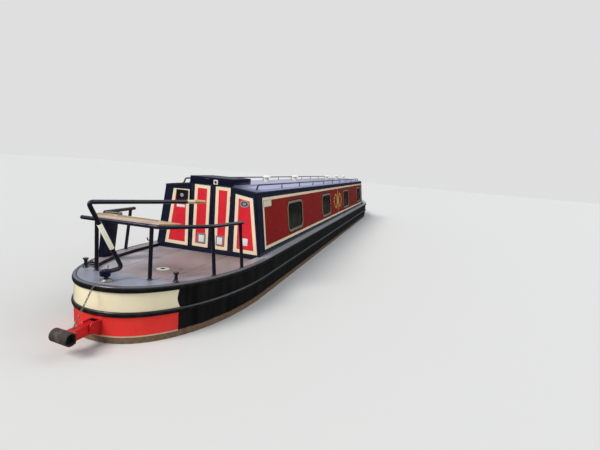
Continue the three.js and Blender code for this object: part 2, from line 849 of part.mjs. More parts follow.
function makeQuarterLocker() {
  const { aft, fore, outer, inner, lean } = QUARTER_LOCKER;
  const foot = DECK - 20;
  const head = railHeight(fore) - RAIL_RADIUS - 3;
  const body = moved(box([outer, inner], [aft, fore], [foot, head]), (p) => {
    const share = (p.z - foot) / (head - foot);
    p.x += lean * share;
    p.y = p.y > (aft + fore) / 2 ? p.y - 25 * (1 - share) : p.y;
  });
  return cut(body, belowDeck());
}
add("quarter_locker", makeQuarterLocker(), "navy");

// Steering: rudder, stock and tiller turn together about the stock
const helm = new THREE.Group();
helm.position.set(0, STOCK.y, 0);
helm.rotation.z = HELM_ANGLE;
boat.add(helm);

const STOCK_TOP = 1318;
const BLADE = { fore: 160, aft: -500, bottom: 85, top: 520, half: 7 };

function makeRudder() {
  const { fore, aft, bottom, top, half } = BLADE;
  const blade = sidePrism(
    polygon([
      [aft, bottom + 60],
      [aft + 60, bottom],
      [fore, bottom],
      [fore, top - 60],
      [fore - 60, top],
      [aft + 120, top],
      [aft, top - 120],
    ]),
    -half,
    half,
  );
  return fuse(blade, bar([0, 0, 42], [0, 0, STOCK_TOP], STOCK.radius, 16));
}
add("rudder", makeRudder(), "bottomBlack", helm);

// The swan neck rises from a collar, leans aft and turns forward into the tiller bar.
const TILLER = {
  radius: 24,
  route: [[0, 1350], [185, 1368], [-212, 2122], [1170, 2091]],
};
const TILLER_COLLAR = { bottom: 1302, top: 1378, radius: 46 };

function makeTiller() {
  const neck = bentTube(TILLER.route.map(([s, z]) => [0, s, z]), TILLER.radius, 62, 12);
  const collar = bar(
    [0, 0, TILLER_COLLAR.bottom],
    [0, 0, TILLER_COLLAR.top],
    TILLER_COLLAR.radius,
    16,
  );
  const bore = bar([0, 0, TILLER_COLLAR.bottom - 5], [0, 0, STOCK_TOP + 2], STOCK.radius + 1, 16);
  return cut(fuse(neck, collar), bore);
}
add("tiller", makeTiller(), "navy", helm);

// Brass ferrule and turned wooden grip on the end of the bar
const GRIP_PROFILE = [
  [0, 0],
  [26, 0],
  [26, 62],
  [17, 66],
  [21, 100],
  [19, 150],
  [22, 175],
  [14, 190],
  [0, 192],
];
function makeGrip() {
  const [s0, z0] = TILLER.route.at(-2);
  const [s1, z1] = TILLER.route.at(-1);
  const droop = Math.atan2(z1 - z0, s1 - s0);
  return turned(GRIP_PROFILE, 16)
    .rotateX(-Math.PI / 2)
    .rotateX(droop)
    .translate(0, s1 + SEAM, z1);
}
add("tiller_grip", makeGrip(), "varnish", helm);

// Propeller on its shaft
function makePropeller() {
  const { radius } = PROPELLER;
  const hub = turned([[0, -70], [30, -60], [42, -20], [42, 45], [34, 60], [0, 60]], 18)
    .rotateX(-Math.PI / 2);
  const shaft = bar([0, -20, 0], [0, 122, 0], 18, 12);
  const blades = [0, 1, 2].map((k) => {
    const blade = new THREE.SphereGeometry(1, 12, 8).scale(88, 9, radius / 2 - 8);
    moved(blade, (p) => {
      const twist = 0.75 - (0.3 * (p.z + radius / 2)) / radius;
      p.applyAxisAngle(new THREE.Vector3(0, 0, 1), twist);
    });
    return blade.translate(0, 0, radius / 2 + 8).rotateY((2 * Math.PI * k) / 3);
  });
  return fuse(hub, shaft, ...blades).translate(0, PROPELLER.y, PROPELLER.z);
}
add("propeller", makePropeller(), "brass");

// Stern fender: bracket on the counter, box arm, chain and roll
const FENDER = { z: 808, bracketHalf: 75, armHalf: 45, armEnd: -2800, rollRadius: 68 };
const COUNTER_FACE = -2434;
const FENDER_BOLT = COUNTER_FACE - 99;

function makeFenderBracket() {
  const { z, bracketHalf } = FENDER;
  const back = box([-bracketHalf, bracketHalf], [COUNTER_FACE - 14, COUNTER_FACE - 2],
    [z - 108, z + 68]);
  const outline = [
    [COUNTER_FACE - 150, z - 20],
    [COUNTER_FACE - 118, z - 58],
    [COUNTER_FACE - 10, z - 92],
    [COUNTER_FACE - 10, z + 66],
    [COUNTER_FACE - 122, z + 72],
    [COUNTER_FACE - 150, z + 42],
  ];
  const ears = [-62, 50].map((x) => sidePrism(polygon(outline), x, x + 12));
  const bolt = bar([-74, FENDER_BOLT, z], [74, FENDER_BOLT, z], 14, 12);
  return fuse(back, ...ears, bolt);
}
add("fender_bracket", makeFenderBracket(), "fenderRed");

function makeFenderArm() {
  const { z, armHalf, armEnd } = FENDER;
  const y1 = COUNTER_FACE - 40;
  return cut(
    fuse(
      box([-armHalf, armHalf], [armEnd, y1], [z - 56, z + 56]),
      box([-90, 90], [armEnd - 8, armEnd + 4], [z - 56, z + 66]),
    ),
    bar([-80, FENDER_BOLT, z], [80, FENDER_BOLT, z], 15, 12),
  );
}
add("fender_arm", makeFenderArm(), "fenderRed");

function makeFenderRoll() {
  const { z, armEnd, rollRadius } = FENDER;
  const y = armEnd - 62;
  return cut(
    bar([-128, y, z + 14], [128, y, z + 14], rollRadius, 20),
    box([-140, 140], [armEnd - 8 - SEAM, armEnd + 60], [z - 120, z + 140]),
  );
}
add("fender_roll", makeFenderRoll(), "rubber");

function makeFenderChain() {
  const top = [0, COUNTER_FACE - 48, deckHeight(COUNTER_FACE - 28) - 14];
  const foot = [0, FENDER.armEnd + 65, FENDER.z + 62];
  return fuse(
    bar(top, foot, 6, 8),
    box([-12, 12], [top[1] - 12, top[1] + 18], [top[2] - 12, top[2] + 12]),
    box([-12, 12], [foot[1] - 14, foot[1] + 14], [FENDER.z + 56 + SEAM, FENDER.z + 74]),
  );
}
add("fender_chain", makeFenderChain(), "steel");

// Foredeck locker lid and bow fender
const LID = { gap: LOCKER.coaming + CLEAR + 1, thickness: 12, over: 12 };
add(
  "bow_locker_lid",
  deckFrame(
    LOCKER.half + LID.over,
    LOCKER.start - LID.over,
    LOCKER.end + LID.over,
    LID.gap,
    LID.gap + LID.thickness,
  ),
  "deckGrey",
);

const BOW_EYE = { x: 45, y: 15660, over: 15940, lift: 45 };
const BOW_FENDER = { y: 15885, z: 1194, radius: 108, half: 150, rake: -0.485 };

// A rope-work roll against the stem, hung on two chains from eyes on the foredeck.
function makeBowFender() {
  const { y, z, radius, half, rake } = BOW_FENDER;
  const roll = new THREE.SphereGeometry(1, 20, 12).scale(radius, radius * 0.88, half);
  const eyes = BOW_EYE.y;
  const chains = [-1, 1].map((side) => {
    const over = [side * BOW_EYE.x, BOW_EYE.over, deckHeight(BOW_EYE.over) + BOW_EYE.lift];
    return fuse(
      bar([side * 25, y + 45, z + 70], over, 6, 8),
      bar(over, [side * BOW_EYE.x, eyes, deckHeight(eyes) + 14], 6, 8),
      new THREE.SphereGeometry(8, 8, 6).translate(...over),
      box(
        [side * BOW_EYE.x - 12, side * BOW_EYE.x + 12],
        [eyes - 15, eyes + 15],
        [deckHeight(eyes) + 4, deckHeight(eyes) + 24],
      ),
    );
  });
  return fuse(roll.rotateX(rake).translate(0, y, z), ...chains);
}
add("bow_fender", makeBowFender(), "rope");

export default boat;
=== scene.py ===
"""Looks of a narrowboat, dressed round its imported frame.

Units are metres. +X is starboard, +Y is towards the bow and +Z is up. The origin is under the base
plate, on the centreline, in line with the cabin's rear bulkhead.
"""

import logging
import math
from dataclasses import dataclass, field
from enum import Enum
from typing import Callable, Iterable, Sequence, Union

import bmesh
import bpy
from mathutils import Matrix, Vector


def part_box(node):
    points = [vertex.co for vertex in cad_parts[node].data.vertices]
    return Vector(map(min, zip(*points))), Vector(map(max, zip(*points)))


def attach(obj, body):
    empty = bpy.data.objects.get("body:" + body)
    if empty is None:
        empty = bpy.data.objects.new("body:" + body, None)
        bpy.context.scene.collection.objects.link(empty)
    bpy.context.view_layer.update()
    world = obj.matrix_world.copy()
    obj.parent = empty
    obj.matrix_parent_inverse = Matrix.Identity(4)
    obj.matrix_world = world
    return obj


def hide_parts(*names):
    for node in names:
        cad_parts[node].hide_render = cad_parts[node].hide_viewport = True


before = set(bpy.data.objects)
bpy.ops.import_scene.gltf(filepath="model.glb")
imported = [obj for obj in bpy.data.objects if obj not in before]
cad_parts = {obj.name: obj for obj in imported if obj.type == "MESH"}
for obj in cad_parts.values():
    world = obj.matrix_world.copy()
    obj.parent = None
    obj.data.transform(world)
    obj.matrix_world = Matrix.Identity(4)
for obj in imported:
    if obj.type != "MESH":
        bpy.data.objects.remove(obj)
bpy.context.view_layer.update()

LOG = logging.getLogger("narrowboat")
ROOT = "root"

Colour = tuple[float, float, float]
Point = tuple[float, float]
Outline = Sequence[Point]
Rect = tuple[float, float, float, float]
Place = Callable[[float, float, float], Vector]
Height = Callable[[float], float]
Section = Callable[[float], list[Point]]

# Driving dimensions
DECK = 1.200
STERN_RISE = 0.021
SHEER_START = 13.000
SHEER_RISE = 0.280
SHEER_LENGTH = 2.927
WATERLINE = 0.610
SCUM_LINE = 0.690
CABIN_LENGTH = 12.600
CABIN_HALF = 0.912
TUMBLEHOME = 0.135
SIDE_TOP = 2.160
ROOF_HALF = 0.785
ROOF_EDGE = 2.200
ROOF_CROWN = 2.265
BOARD_TOP = DECK - 0.045
STOCK_Y = -2.285
HELM_ANGLE = math.radians(-20)
COUNTER_FACE = -2.434
RAIL_HEIGHT = 1.8188
RAIL_RISE = 0.01543


class Side(Enum):
    """A side of the boat, by the sign of its X."""

    PORT = -1
    STARBOARD = 1

    @property
    def word(self) -> str:
        """Returns the side's name in lower case."""
        return self.name.lower()


def srgb(red: int, green: int, blue: int) -> Colour:
    """Turns a colour of 0 to 255 into the linear values that a shader takes."""
    def linear(value: float) -> float:
        """Turns one of its numbers."""
        share = value / 255
        return share / 12.92 if share <= 0.04045 else ((share + 0.055) / 1.055) ** 2.4

    return linear(red), linear(green), linear(blue)


def deck_height(y: float) -> float:
    """Returns the height of the deck's edge at a place along the boat."""
    if y < 0:
        return DECK - STERN_RISE * y
    share = max(0.0, (y - SHEER_START) / SHEER_LENGTH)
    return DECK + SHEER_RISE * share * share


def cabin_half(z: float) -> float:
    """Returns half the cabin's width at a height."""
    return CABIN_HALF - TUMBLEHOME * (z - DECK)


def roof_top(x: float) -> float:
    """Returns the height of the roof's surface at a distance from the centreline."""
    return ROOF_CROWN - (ROOF_CROWN - ROOF_EDGE) * (x / ROOF_HALF) ** 2


# Shader maths


class Signal:
    """A number that varies over a surface. Arithmetic on it adds Math nodes."""

    def __init__(self, tree: "Tree", socket: bpy.types.NodeSocket) -> None:
        """Wraps an output socket.

        Args:
            tree: the tree that holds the node.
            socket: the output that carries the number.
        """
        self.tree = tree
        self.socket = socket

    def __add__(self, other: "Number") -> "Signal":
        """Adds."""
        return self.tree.math("ADD", self, other)

    def __sub__(self, other: "Number") -> "Signal":
        """Subtracts."""
        return self.tree.math("SUBTRACT", self, other)

    def __rsub__(self, other: "Number") -> "Signal":
        """Subtracts this from a number."""
        return self.tree.math("SUBTRACT", other, self)

    def __mul__(self, other: "Number") -> "Signal":
        """Multiplies."""
        return self.tree.math("MULTIPLY", self, other)

    def __truediv__(self, other: "Number") -> "Signal":
        """Divides."""
        return self.tree.math("DIVIDE", self, other)

    def __abs__(self) -> "Signal":
        """Takes the size without its sign."""
        return self.tree.math("ABSOLUTE", self)

    __radd__ = __add__
    __rmul__ = __mul__

    def above(self, edge: float, soft: float = 0.001) -> "Signal":
        """Returns 1 where this is above an edge and 0 below it, with a soft step between."""
        node = self.tree.node(
            "ShaderNodeMapRange",
            {"interpolation_type": "SMOOTHSTEP"},
            {"Value": self, "From Min": edge - soft, "From Max": edge + soft},
        )
        return Signal(self.tree, node.outputs["Result"])

    def between(self, low: float, high: float, soft: float = 0.001) -> "Signal":
        """Returns 1 between two edges and 0 outside them."""
        return self.above(low, soft) * (1 - self.above(high, soft))

    def joints(self, pitch: float, width: float) -> "Signal":
        """Returns 1 in narrow lines that repeat at a pitch, and 0 between them."""
        wave = self.tree.math("PINGPONG", self, pitch / 2)
        return 1 - wave.above(width / 2, width / 4)


Number = Union[Signal, float]
Value = Union[Signal, bpy.types.NodeSocket, float, Sequence[float]]


class Tree:
    """A shader tree in the making."""

    def __init__(self, tree: bpy.types.NodeTree) -> None:
        """Starts from an emptied tree."""
        self.tree = tree
        tree.nodes.clear()

    def node(
        self, kind: str, settings: dict[str, object] | None = None, inputs: dict | None = None
    ) -> bpy.types.Node:
        """Adds any node.

        Args:
            kind: the node's type.
            settings: its own settings, set before its sockets.
            inputs: values or links for its sockets, by name or number.

        Returns:
            The new node.
        """
        made = self.tree.nodes.new(kind)
        for key, value in (settings or {}).items():
            setattr(made, key, value)
        for key, value in (inputs or {}).items():
            self.feed(made.inputs[key], value)
        return made

    def feed(self, socket: bpy.types.NodeSocket, value: Value) -> None:
        """Links a signal or socket to an input, or sets the input's own value."""
        if isinstance(value, Signal):
            value = value.socket
        if isinstance(value, bpy.types.NodeSocket):
            self.tree.links.new(value, socket)
        elif isinstance(value, (int, float)):
            socket.default_value = value
        else:
            spare = len(socket.default_value) - len(value)
            socket.default_value = (*value, *([1.0] * spare))

    def math(self, operation: str, first: Number, second: Number = 0.0) -> Signal:
        """Adds one Math node and returns its result."""
        made = self.node("ShaderNodeMath", {"operation": operation}, {0: first, 1: second})
        return Signal(self, made.outputs[0])

    def split(self, vector: bpy.types.NodeSocket) -> tuple["Signal", "Signal", "Signal"]:
        """Returns a vector's three parts."""
        made = self.node("ShaderNodeSeparateXYZ", inputs={"Vector": vector})
        return tuple(Signal(self, made.outputs[axis]) for axis in "XYZ")

    def mix(self, share: Number, low: Value, high: Value) -> bpy.types.NodeSocket:
        """Mixes two colours: the low one at share 0 and the high one at 1."""
        made = self.node("ShaderNodeMix", {"data_type": "RGBA"}, {0: share, 6: low, 7: high})
        return made.outputs[2]


class Sky(Tree):
    """The studio's surroundings: even light, with a pale dome over dark ground in reflections."""

    def __init__(self, world: bpy.types.World, even: Colour, backdrop: Colour) -> None:
        """Builds the surroundings.

        Args:
            world: the world that takes them.
            even: the even light that falls on everything.
            backdrop: the plain tone behind the floor.
        """
        super().__init__(world.node_tree)
        _, _, up = self.split(self.node("ShaderNodeTexCoord").outputs["Generated"])
        path = self.node("ShaderNodeLightPath").outputs
        dome = self.mix(up.above(0.18, 0.15), (0.035, 0.038, 0.036), (0.64, 0.68, 0.78))
        tone = self.mix(Signal(self, path["Is Glossy Ray"]), even, dome)
        tone = self.mix(Signal(self, path["Is Camera Ray"]), tone, backdrop)
        back = self.node("ShaderNodeBackground", inputs={"Color": tone, "Strength": 1.0})
        out = self.node("ShaderNodeOutputWorld")
        self.feed(out.inputs["Surface"], back.outputs["Background"])


class Paint(Tree):
    """A procedural material in the making, read in the object's own coordinates."""

    def __init__(self, name: str) -> None:
        """Starts an empty material with one Principled shader.

        Args:
            name: the material's name.
        """
        self.material = bpy.data.materials.new(name)
        self.material.use_nodes = True
        super().__init__(self.material.node_tree)
        self.shader = self.node("ShaderNodeBsdfPrincipled")
        out = self.node("ShaderNodeOutputMaterial")
        self.feed(out.inputs["Surface"], self.shader.outputs["BSDF"])
        self.place = self.node("ShaderNodeTexCoord").outputs["Object"]
        self.x, self.y, self.z = self.split(self.place)
        self.tone: Value = (0.0, 0.0, 0.0)

    def stretched(self, stretch: Sequence[float]) -> bpy.types.NodeSocket:
        """Returns the place with each axis multiplied by its own number."""
        made = self.node(
            "ShaderNodeVectorMath", {"operation": "MULTIPLY"}, {0: self.place, 1: stretch}
        )
        return made.outputs[0]

    def noise(
        self, scale: float, detail: float = 3.0, stretch: Sequence[float] = (1, 1, 1)
    ) -> Signal:
        """Returns cloudy noise of 0 to 1.

        Args:
            scale: how many blotches there are to a metre.
            detail: how many finer layers are added.
            stretch: how much closer together the blotches are along each axis.
        """
        made = self.node(
            "ShaderNodeTexNoise",
            inputs={"Vector": self.stretched(stretch), "Scale": scale, "Detail": detail},
        )
        return Signal(self, made.outputs["Fac"])

    def cells(self, scale: float, stretch: Sequence[float] = (1, 1, 1)) -> Signal:
        """Returns the distance to the nearest of scattered points."""
        made = self.node(
            "ShaderNodeTexVoronoi", inputs={"Vector": self.stretched(stretch), "Scale": scale}
        )
        return Signal(self, made.outputs["Distance"])

    def facing_up(self) -> Signal:
        """Returns how much the surface faces up, from -1 to 1."""
        return self.split(self.node("ShaderNodeNewGeometry").outputs["Normal"])[2]

    def bump(self, height: Signal, distance: float, strength: float = 1.0) -> None:
        """Raises the surface by a height signal times a distance in metres."""
        made = self.node(
            "ShaderNodeBump",
            inputs={"Height": height, "Distance": distance, "Strength": strength},
        )
        self.feed(self.shader.inputs["Normal"], made.outputs["Normal"])

    def over(self, share: Number, colour: Value) -> None:
        """Lays a colour over the tone so far, by a share of 0 to 1."""
        self.tone = self.mix(share, self.tone, colour)

    def boarding(self, grain: Signal, seams: Signal, *tones: Colour) -> bpy.types.NodeSocket:
        """Returns grained boards of a dark and a light tone, with a third tone in their seams."""
        dark, light, line = tones
        return self.mix(seams, self.mix(grain, dark, light), line)

    def close(self, roughness: Value, **values: Value) -> None:
        """Sets or links the shader's sockets.

        Args:
            roughness: how rough the surface is.
            values: the other sockets, named with _ for each space.
        """
        for key, value in {"Base_Color": self.tone, "Roughness": roughness, **values}.items():
            self.feed(self.shader.inputs[key.replace("_", " ")], value)


@dataclass(frozen=True)
class Finish:
    """A finish that makes one material."""

    name: str

    def make(self) -> bpy.types.Material:
        """Builds the material."""
        paint = Paint(self.name)
        self.lay(paint)
        return paint.material

    def lay(self, paint: Paint) -> None:
        """Lays the finish on an empty paint."""
        raise NotImplementedError


@dataclass(frozen=True)
class Enamel(Finish):
    """Brushed or rolled paint on steel, with dust, faint streaks and small chips."""

    colour: Colour
    roughness: float = 0.3
    coat: float = 0.35
    dust: Colour = srgb(150, 140, 125)
    dusty: float = 0.12
    chips: float = 0.0
    chip_colour: Colour = srgb(78, 54, 42)
    gloss: float = 0.3
    grit: float = 0.12

    def lay(self, paint: Paint) -> None:
        """Lays the paint with its marks and its brushed surface."""
        self.ground(paint)
        self.marks(paint)
        height = paint.noise(3.1, 2)
        if self.grit:
            height = height + paint.noise(260, 2) * self.grit
        paint.bump(height, 0.0011, 0.4)
        rough = self.roughness + (paint.noise(6, 4) - 0.5) * 0.22
        paint.close(rough, Specular_IOR_Level=self.gloss, Coat_Weight=self.coat,
                    Coat_Roughness=0.12)

    def ground(self, paint: Paint) -> None:
        """Lays the plain colour with its dust and chips."""
        darker = tuple(value * 0.8 for value in self.colour)
        lighter = tuple(min(1.0, value * 1.18) for value in self.colour)
        paint.tone = paint.mix(paint.noise(1.7, 4), darker, lighter)
        dust = (paint.noise(9, 3, (1, 1, 0.12)) - 0.42) * (2.4 * self.dusty)
        paint.over(paint.math("MAXIMUM", dust, 0.0), self.dust)
        if self.chips:
            paint.over(paint.noise(38, 4).above(1 - self.chips, 0.012), self.chip_colour)

    def marks(self, paint: Paint) -> None:
        """Adds the marks of one kind of paint. Plain enamel has none."""


@dataclass(frozen=True)
class HullFinish(Enamel):
    """Blacking on the hull's sides, grey paint on its decks, partly painted light, and a brown
    band at the water.
    """

    # Up-facing colours at deck height, forward and aft of the cabin's aft end. On the hull they
    # are deck paint, the forward grey lightened partly as painted light against the cabin's
    # shadow; on the strake they paint a sheen on the bar's top.
    deck: Colour = srgb(164, 172, 174)
    aft_deck: Colour = srgb(150, 141, 146)
    lining: Colour = srgb(176, 132, 84)

    def marks(self, paint: Paint) -> None:
        """Adds the decks, partly painted light, the sill under the doors, the lining and the band
        at the water.
        """
        flat = paint.facing_up().above(0.6, 0.06)
        # Deck colour on up-facing faces: partly painted light on the hull's forward decks, and a
        # painted sheen on the strake's top.
        deck_and_sheen_tone = paint.mix(paint.y.above(0.02, 0.1), self.aft_deck, self.deck)
        deck_and_sheen_tone = paint.mix(paint.noise(14, 5) * 0.5, deck_and_sheen_tone, srgb(116, 116, 120))
        worn = paint.noise(30, 5).above(0.66, 0.03)
        deck_and_sheen_tone = paint.mix(worn * 0.5, deck_and_sheen_tone, srgb(92, 82, 76))
        paint.over(flat * paint.z.above(DECK - 0.012, 0.002), deck_and_sheen_tone)
        within = 1 - abs(paint.x).above(0.9, 0.002)
        sill = paint.y.between(-0.0095, 0.002, 0.0005) * paint.z.above(1.1, 0.002)
        paint.over(sill * within, NAVY)
        in_well = flat * paint.y.above(CABIN_LENGTH, 0.01) * paint.z.above(0.7, 0.01)
        paint.over(in_well * 0.9, deck_and_sheen_tone)
        inside = paint.y.between(0.055, CABIN_LENGTH - 0.058, 0.002)
        inside = inside * within * (1 - paint.z.above(1.19, 0.002))
        grain, planks = paint.noise(5, 5, (8, 0.4, 8)), paint.x.joints(0.12, 0.004) * flat
        paint.over(inside, paint.boarding(grain, planks, srgb(120, 82, 50), self.lining,
                                          srgb(60, 40, 25)))
        wet = 1 - (paint.z + (paint.noise(11, 4) - 0.5) * 0.03).above(SCUM_LINE, 0.006)
        slime = paint.mix(paint.noise(24, 5), srgb(84, 66, 52), srgb(140, 116, 92))
        paint.over(wet * (1 - inside), slime)


@dataclass(frozen=True)
class DeckFinish(Enamel):
    """Deck paint with fine grit, scuffs and dried puddle marks."""

    def lay(self, paint: Paint) -> None:
        """Lays the paint with its grit and scuffs."""
        self.ground(paint)
        scuffs = paint.noise(7, 6, (1, 1.6, 1))
        paint.over(scuffs.above(0.56, 0.12) * 0.4, srgb(160, 163, 174))
        paint.over(paint.noise(60, 3).above(0.68, 0.03) * 0.3, srgb(96, 88, 84))
        paint.bump(paint.cells(420) * 0.6 + paint.noise(5, 2), 0.0009, 0.6)
        rough = self.roughness + (scuffs - 0.5) * 0.3
        paint.close(rough, Coat_Weight=self.coat, Coat_Roughness=0.25)


@dataclass(frozen=True)
class CabinFinish(Enamel):
    """Coach paint outside, and a tongued wooden lining on the cabin's inner faces."""

    lining: Colour = srgb(196, 150, 98)

    def marks(self, paint: Paint) -> None:
        """Adds the lining."""
        lean = abs(paint.x) + (paint.z - DECK) * TUMBLEHOME
        within = 1 - lean.above(CABIN_HALF - 0.05, 0.002)
        within = within * paint.y.between(0.043, CABIN_LENGTH - 0.043, 0.001)
        grain, seams = paint.noise(4, 6, (3, 0.5, 9)), paint.z.joints(0.095, 0.004)
        paint.over(within, paint.boarding(grain, seams, srgb(160, 112, 66), self.lining,
                                          srgb(80, 52, 30)))


@dataclass(frozen=True)
class RoofFinish(Enamel):
    """Roof paint: pale in the middle, bluer outside the handrails, with a navy edge and ends, and
    painted shade in the middle and towards the aft end.
    """

    edge: Colour = srgb(18, 22, 44)
    margin: Colour = srgb(128, 134, 190)

    def marks(self, paint: Paint) -> None:
        """Adds the strips, the painted shade in the middle and at the aft end, the streaks, edge
        and ceiling.
        """
        side = abs(paint.x)
        # Darker between the handrails: partly painted shade, partly the tone of things lying on
        # the roof.
        paint.over((1 - side.above(0.62, 0.06)) * 0.3, srgb(104, 104, 132))
        paint.over(side.above(0.665, 0.01) * 0.75, self.margin)
        # Painted shade and reflection: the roof's aft end darkened towards navy.
        paint.over((1 - paint.y.above(0.36, 0.2)) * 0.82, srgb(50, 53, 100))
        streaks = paint.noise(5, 6, (0.4, 2.2, 1))
        paint.over(streaks.above(0.55, 0.1) * 0.25, srgb(112, 108, 116))
        navy = paint.math("MAXIMUM", side.above(0.768, 0.002), 1 - paint.y.above(0.05, 0.002))
        navy = paint.math("MAXIMUM", navy, paint.y.above(CABIN_LENGTH - 0.05, 0.002))
        paint.over(navy, self.edge)
        ceiling = (1 - paint.facing_up().above(-0.6, 0.05)) * paint.y.between(0.05, 12.55)
        ceiling = ceiling * (1 - side.above(0.73, 0.002))
        grain, seams = paint.noise(4, 6, (9, 0.5, 3)), paint.x.joints(0.095, 0.004)
        paint.over(ceiling, paint.boarding(grain, seams, srgb(176, 132, 84), srgb(206, 166, 112),
                                           srgb(92, 62, 38)))


@dataclass(frozen=True)
class BoardFinish(Finish):
    """Painted deck boards, worn towards bare wood, with grain along the boat."""

    colour: Colour = srgb(153, 138, 139)
    worn: Colour = srgb(124, 108, 102)

    def lay(self, paint: Paint) -> None:
        """Lays the paint with its tread, wear and knots."""
        grain, patches = paint.noise(9, 8, (6, 0.5, 6)), paint.noise(2.3, 5)
        paint.tone = paint.mix(grain, tuple(value * 0.82 for value in self.colour), self.colour)
        tread = paint.noise(13, 6, (0.5, 7, 1)).above(0.52, 0.12)
        paint.over(tread * 0.35, srgb(120, 104, 102))
        paint.over((1 - paint.x.above(-0.35, 0.35)) * 0.75, srgb(184, 184, 195))
        paint.over(patches.above(0.52, 0.1) * 0.45, self.worn)
        paint.over(paint.noise(46, 4).above(0.7, 0.02) * 0.5, srgb(74, 58, 52))
        paint.bump(grain + paint.noise(180, 3) * 0.5, 0.0012, 0.55)
        paint.close(0.52 + (patches - 0.5) * 0.35, Coat_Weight=0.12, Coat_Roughness=0.3)


@dataclass(frozen=True)
class WoodFinish(Finish):
    """Varnished wood with grain along one axis."""

    light: Colour = srgb(210, 180, 128)
    dark: Colour = srgb(166, 130, 86)
    along: tuple[float, float, float] = (0.35, 6, 6)
    coat: float = 0.3

    def lay(self, paint: Paint) -> None:
        """Lays the varnish on grained wood."""
        waves = paint.node(
            "ShaderNodeTexWave",
            {"bands_direction": "Y"},
            {"Vector": paint.stretched(self.along), "Scale": 2.2, "Distortion": 7.0,
             "Detail": 4.0, "Detail Scale": 1.4},
        )
        fine = paint.noise(18, 6, self.along)
        rings = Signal(paint, waves.outputs["Fac"]) * 0.55 + fine * 0.45
        paint.tone = paint.mix(rings, self.dark, self.light)
        weather = paint.noise(6, 5).above(0.6, 0.08)
        paint.over(weather * 0.35, srgb(196, 176, 150))
        paint.bump(fine, 0.0006, 0.4)
        paint.close(0.28 + weather * 0.3, Coat_Weight=self.coat, Coat_Roughness=0.1)


@dataclass(frozen=True)
class MetalFinish(Finish):
    """Bare metal, clouded by tarnish and touched by rust."""

    colour: Colour
    roughness: float = 0.3
    tarnish: Colour = srgb(96, 84, 66)
    tarnished: float = 0.35
    rust: float = 0.0
    metal: float = 1.0

    def lay(self, paint: Paint) -> None:
        """Lays the metal with its tarnish and rust."""
        clouds = paint.noise(21, 5)
        paint.tone = paint.mix(clouds * self.tarnished, self.colour, self.tarnish)
        metal: Number = self.metal
        if self.rust:
            rusty = paint.noise(44, 5).above(1 - self.rust, 0.05)
            paint.over(rusty, srgb(104, 76, 56))
            metal = (1 - rusty) * self.metal
        paint.bump(paint.noise(190, 3), 0.0005, 0.4)
        paint.close(self.roughness + (clouds - 0.5) * 0.25, Metallic=metal)


@dataclass(frozen=True)
class GlassFinish(Finish):
    """Dark window glass with a faint pale film, stronger low on the pane."""

    colour: Colour = srgb(9, 12, 10)

    def lay(self, paint: Paint) -> None:
        """Lays the glass with its film."""
        film = paint.noise(4, 4, (1, 1, 1.6))
        # The film fades out towards the top, so the pane is darker at the top and paler towards
        # the bottom.
        dust = film.above(0.5, 0.35) * (1 - paint.z.above(1.72, 0.2) * 0.8)
        paint.tone = paint.mix(dust, self.colour, srgb(58, 63, 50))
        paint.close(0.04 + film * 0.08, Alpha=0.88 + film * 0.08, IOR=1.5,
                    Specular_IOR_Level=0.3)


@dataclass(frozen=True)
class RubberFinish(Finish):
    """Perished black rubber with brown weathering and shallow cracks."""

    def lay(self, paint: Paint) -> None:
        """Lays the rubber with its stains and cracks."""
        patches = paint.noise(9, 6)
        paint.tone = paint.mix(patches, srgb(24, 22, 21), srgb(64, 55, 50))
        stains = paint.noise(15, 4, (1, 1, 0.3)).above(0.58, 0.05)
        paint.over(stains * 0.4, srgb(104, 88, 74))
        paint.bump(paint.cells(60, (0.4, 1, 1)) + patches, 0.003, 0.7)
        paint.close(0.62 + patches * 0.25)


@dataclass(frozen=True)
class RopeFinish(Finish):
    """Tarred rope work, laid in close turns that cross the fender."""

    half_pitch: float = 0.012

    def lay(self, paint: Paint) -> None:
        """Lays the turns and their strands."""
        lay = paint.z + abs(paint.x) * 0.8
        turns = paint.math("PINGPONG", lay, self.half_pitch) / self.half_pitch
        strands = paint.noise(120, 4, (1, 1, 2.5))
        paint.tone = paint.mix(turns, srgb(64, 50, 36), srgb(160, 134, 96))
        paint.over(strands * 0.5, srgb(104, 84, 58))
        paint.bump(turns + strands * 0.4, 0.006, 0.9)
        paint.close(0.85 + (strands - 0.5) * 0.2)


@dataclass(frozen=True)
class FloorFinish(Finish):
    """The plain pale floor round the boat."""

    colour: Colour = srgb(206, 206, 204)

    def lay(self, paint: Paint) -> None:
        """Lays the plain colour."""
        paint.tone = self.colour
        paint.close(0.8)


NAVY = srgb(19, 22, 40)
CREAM = srgb(236, 220, 186)
CRIMSON = srgb(220, 33, 50)
BLACK = srgb(13, 13, 14)

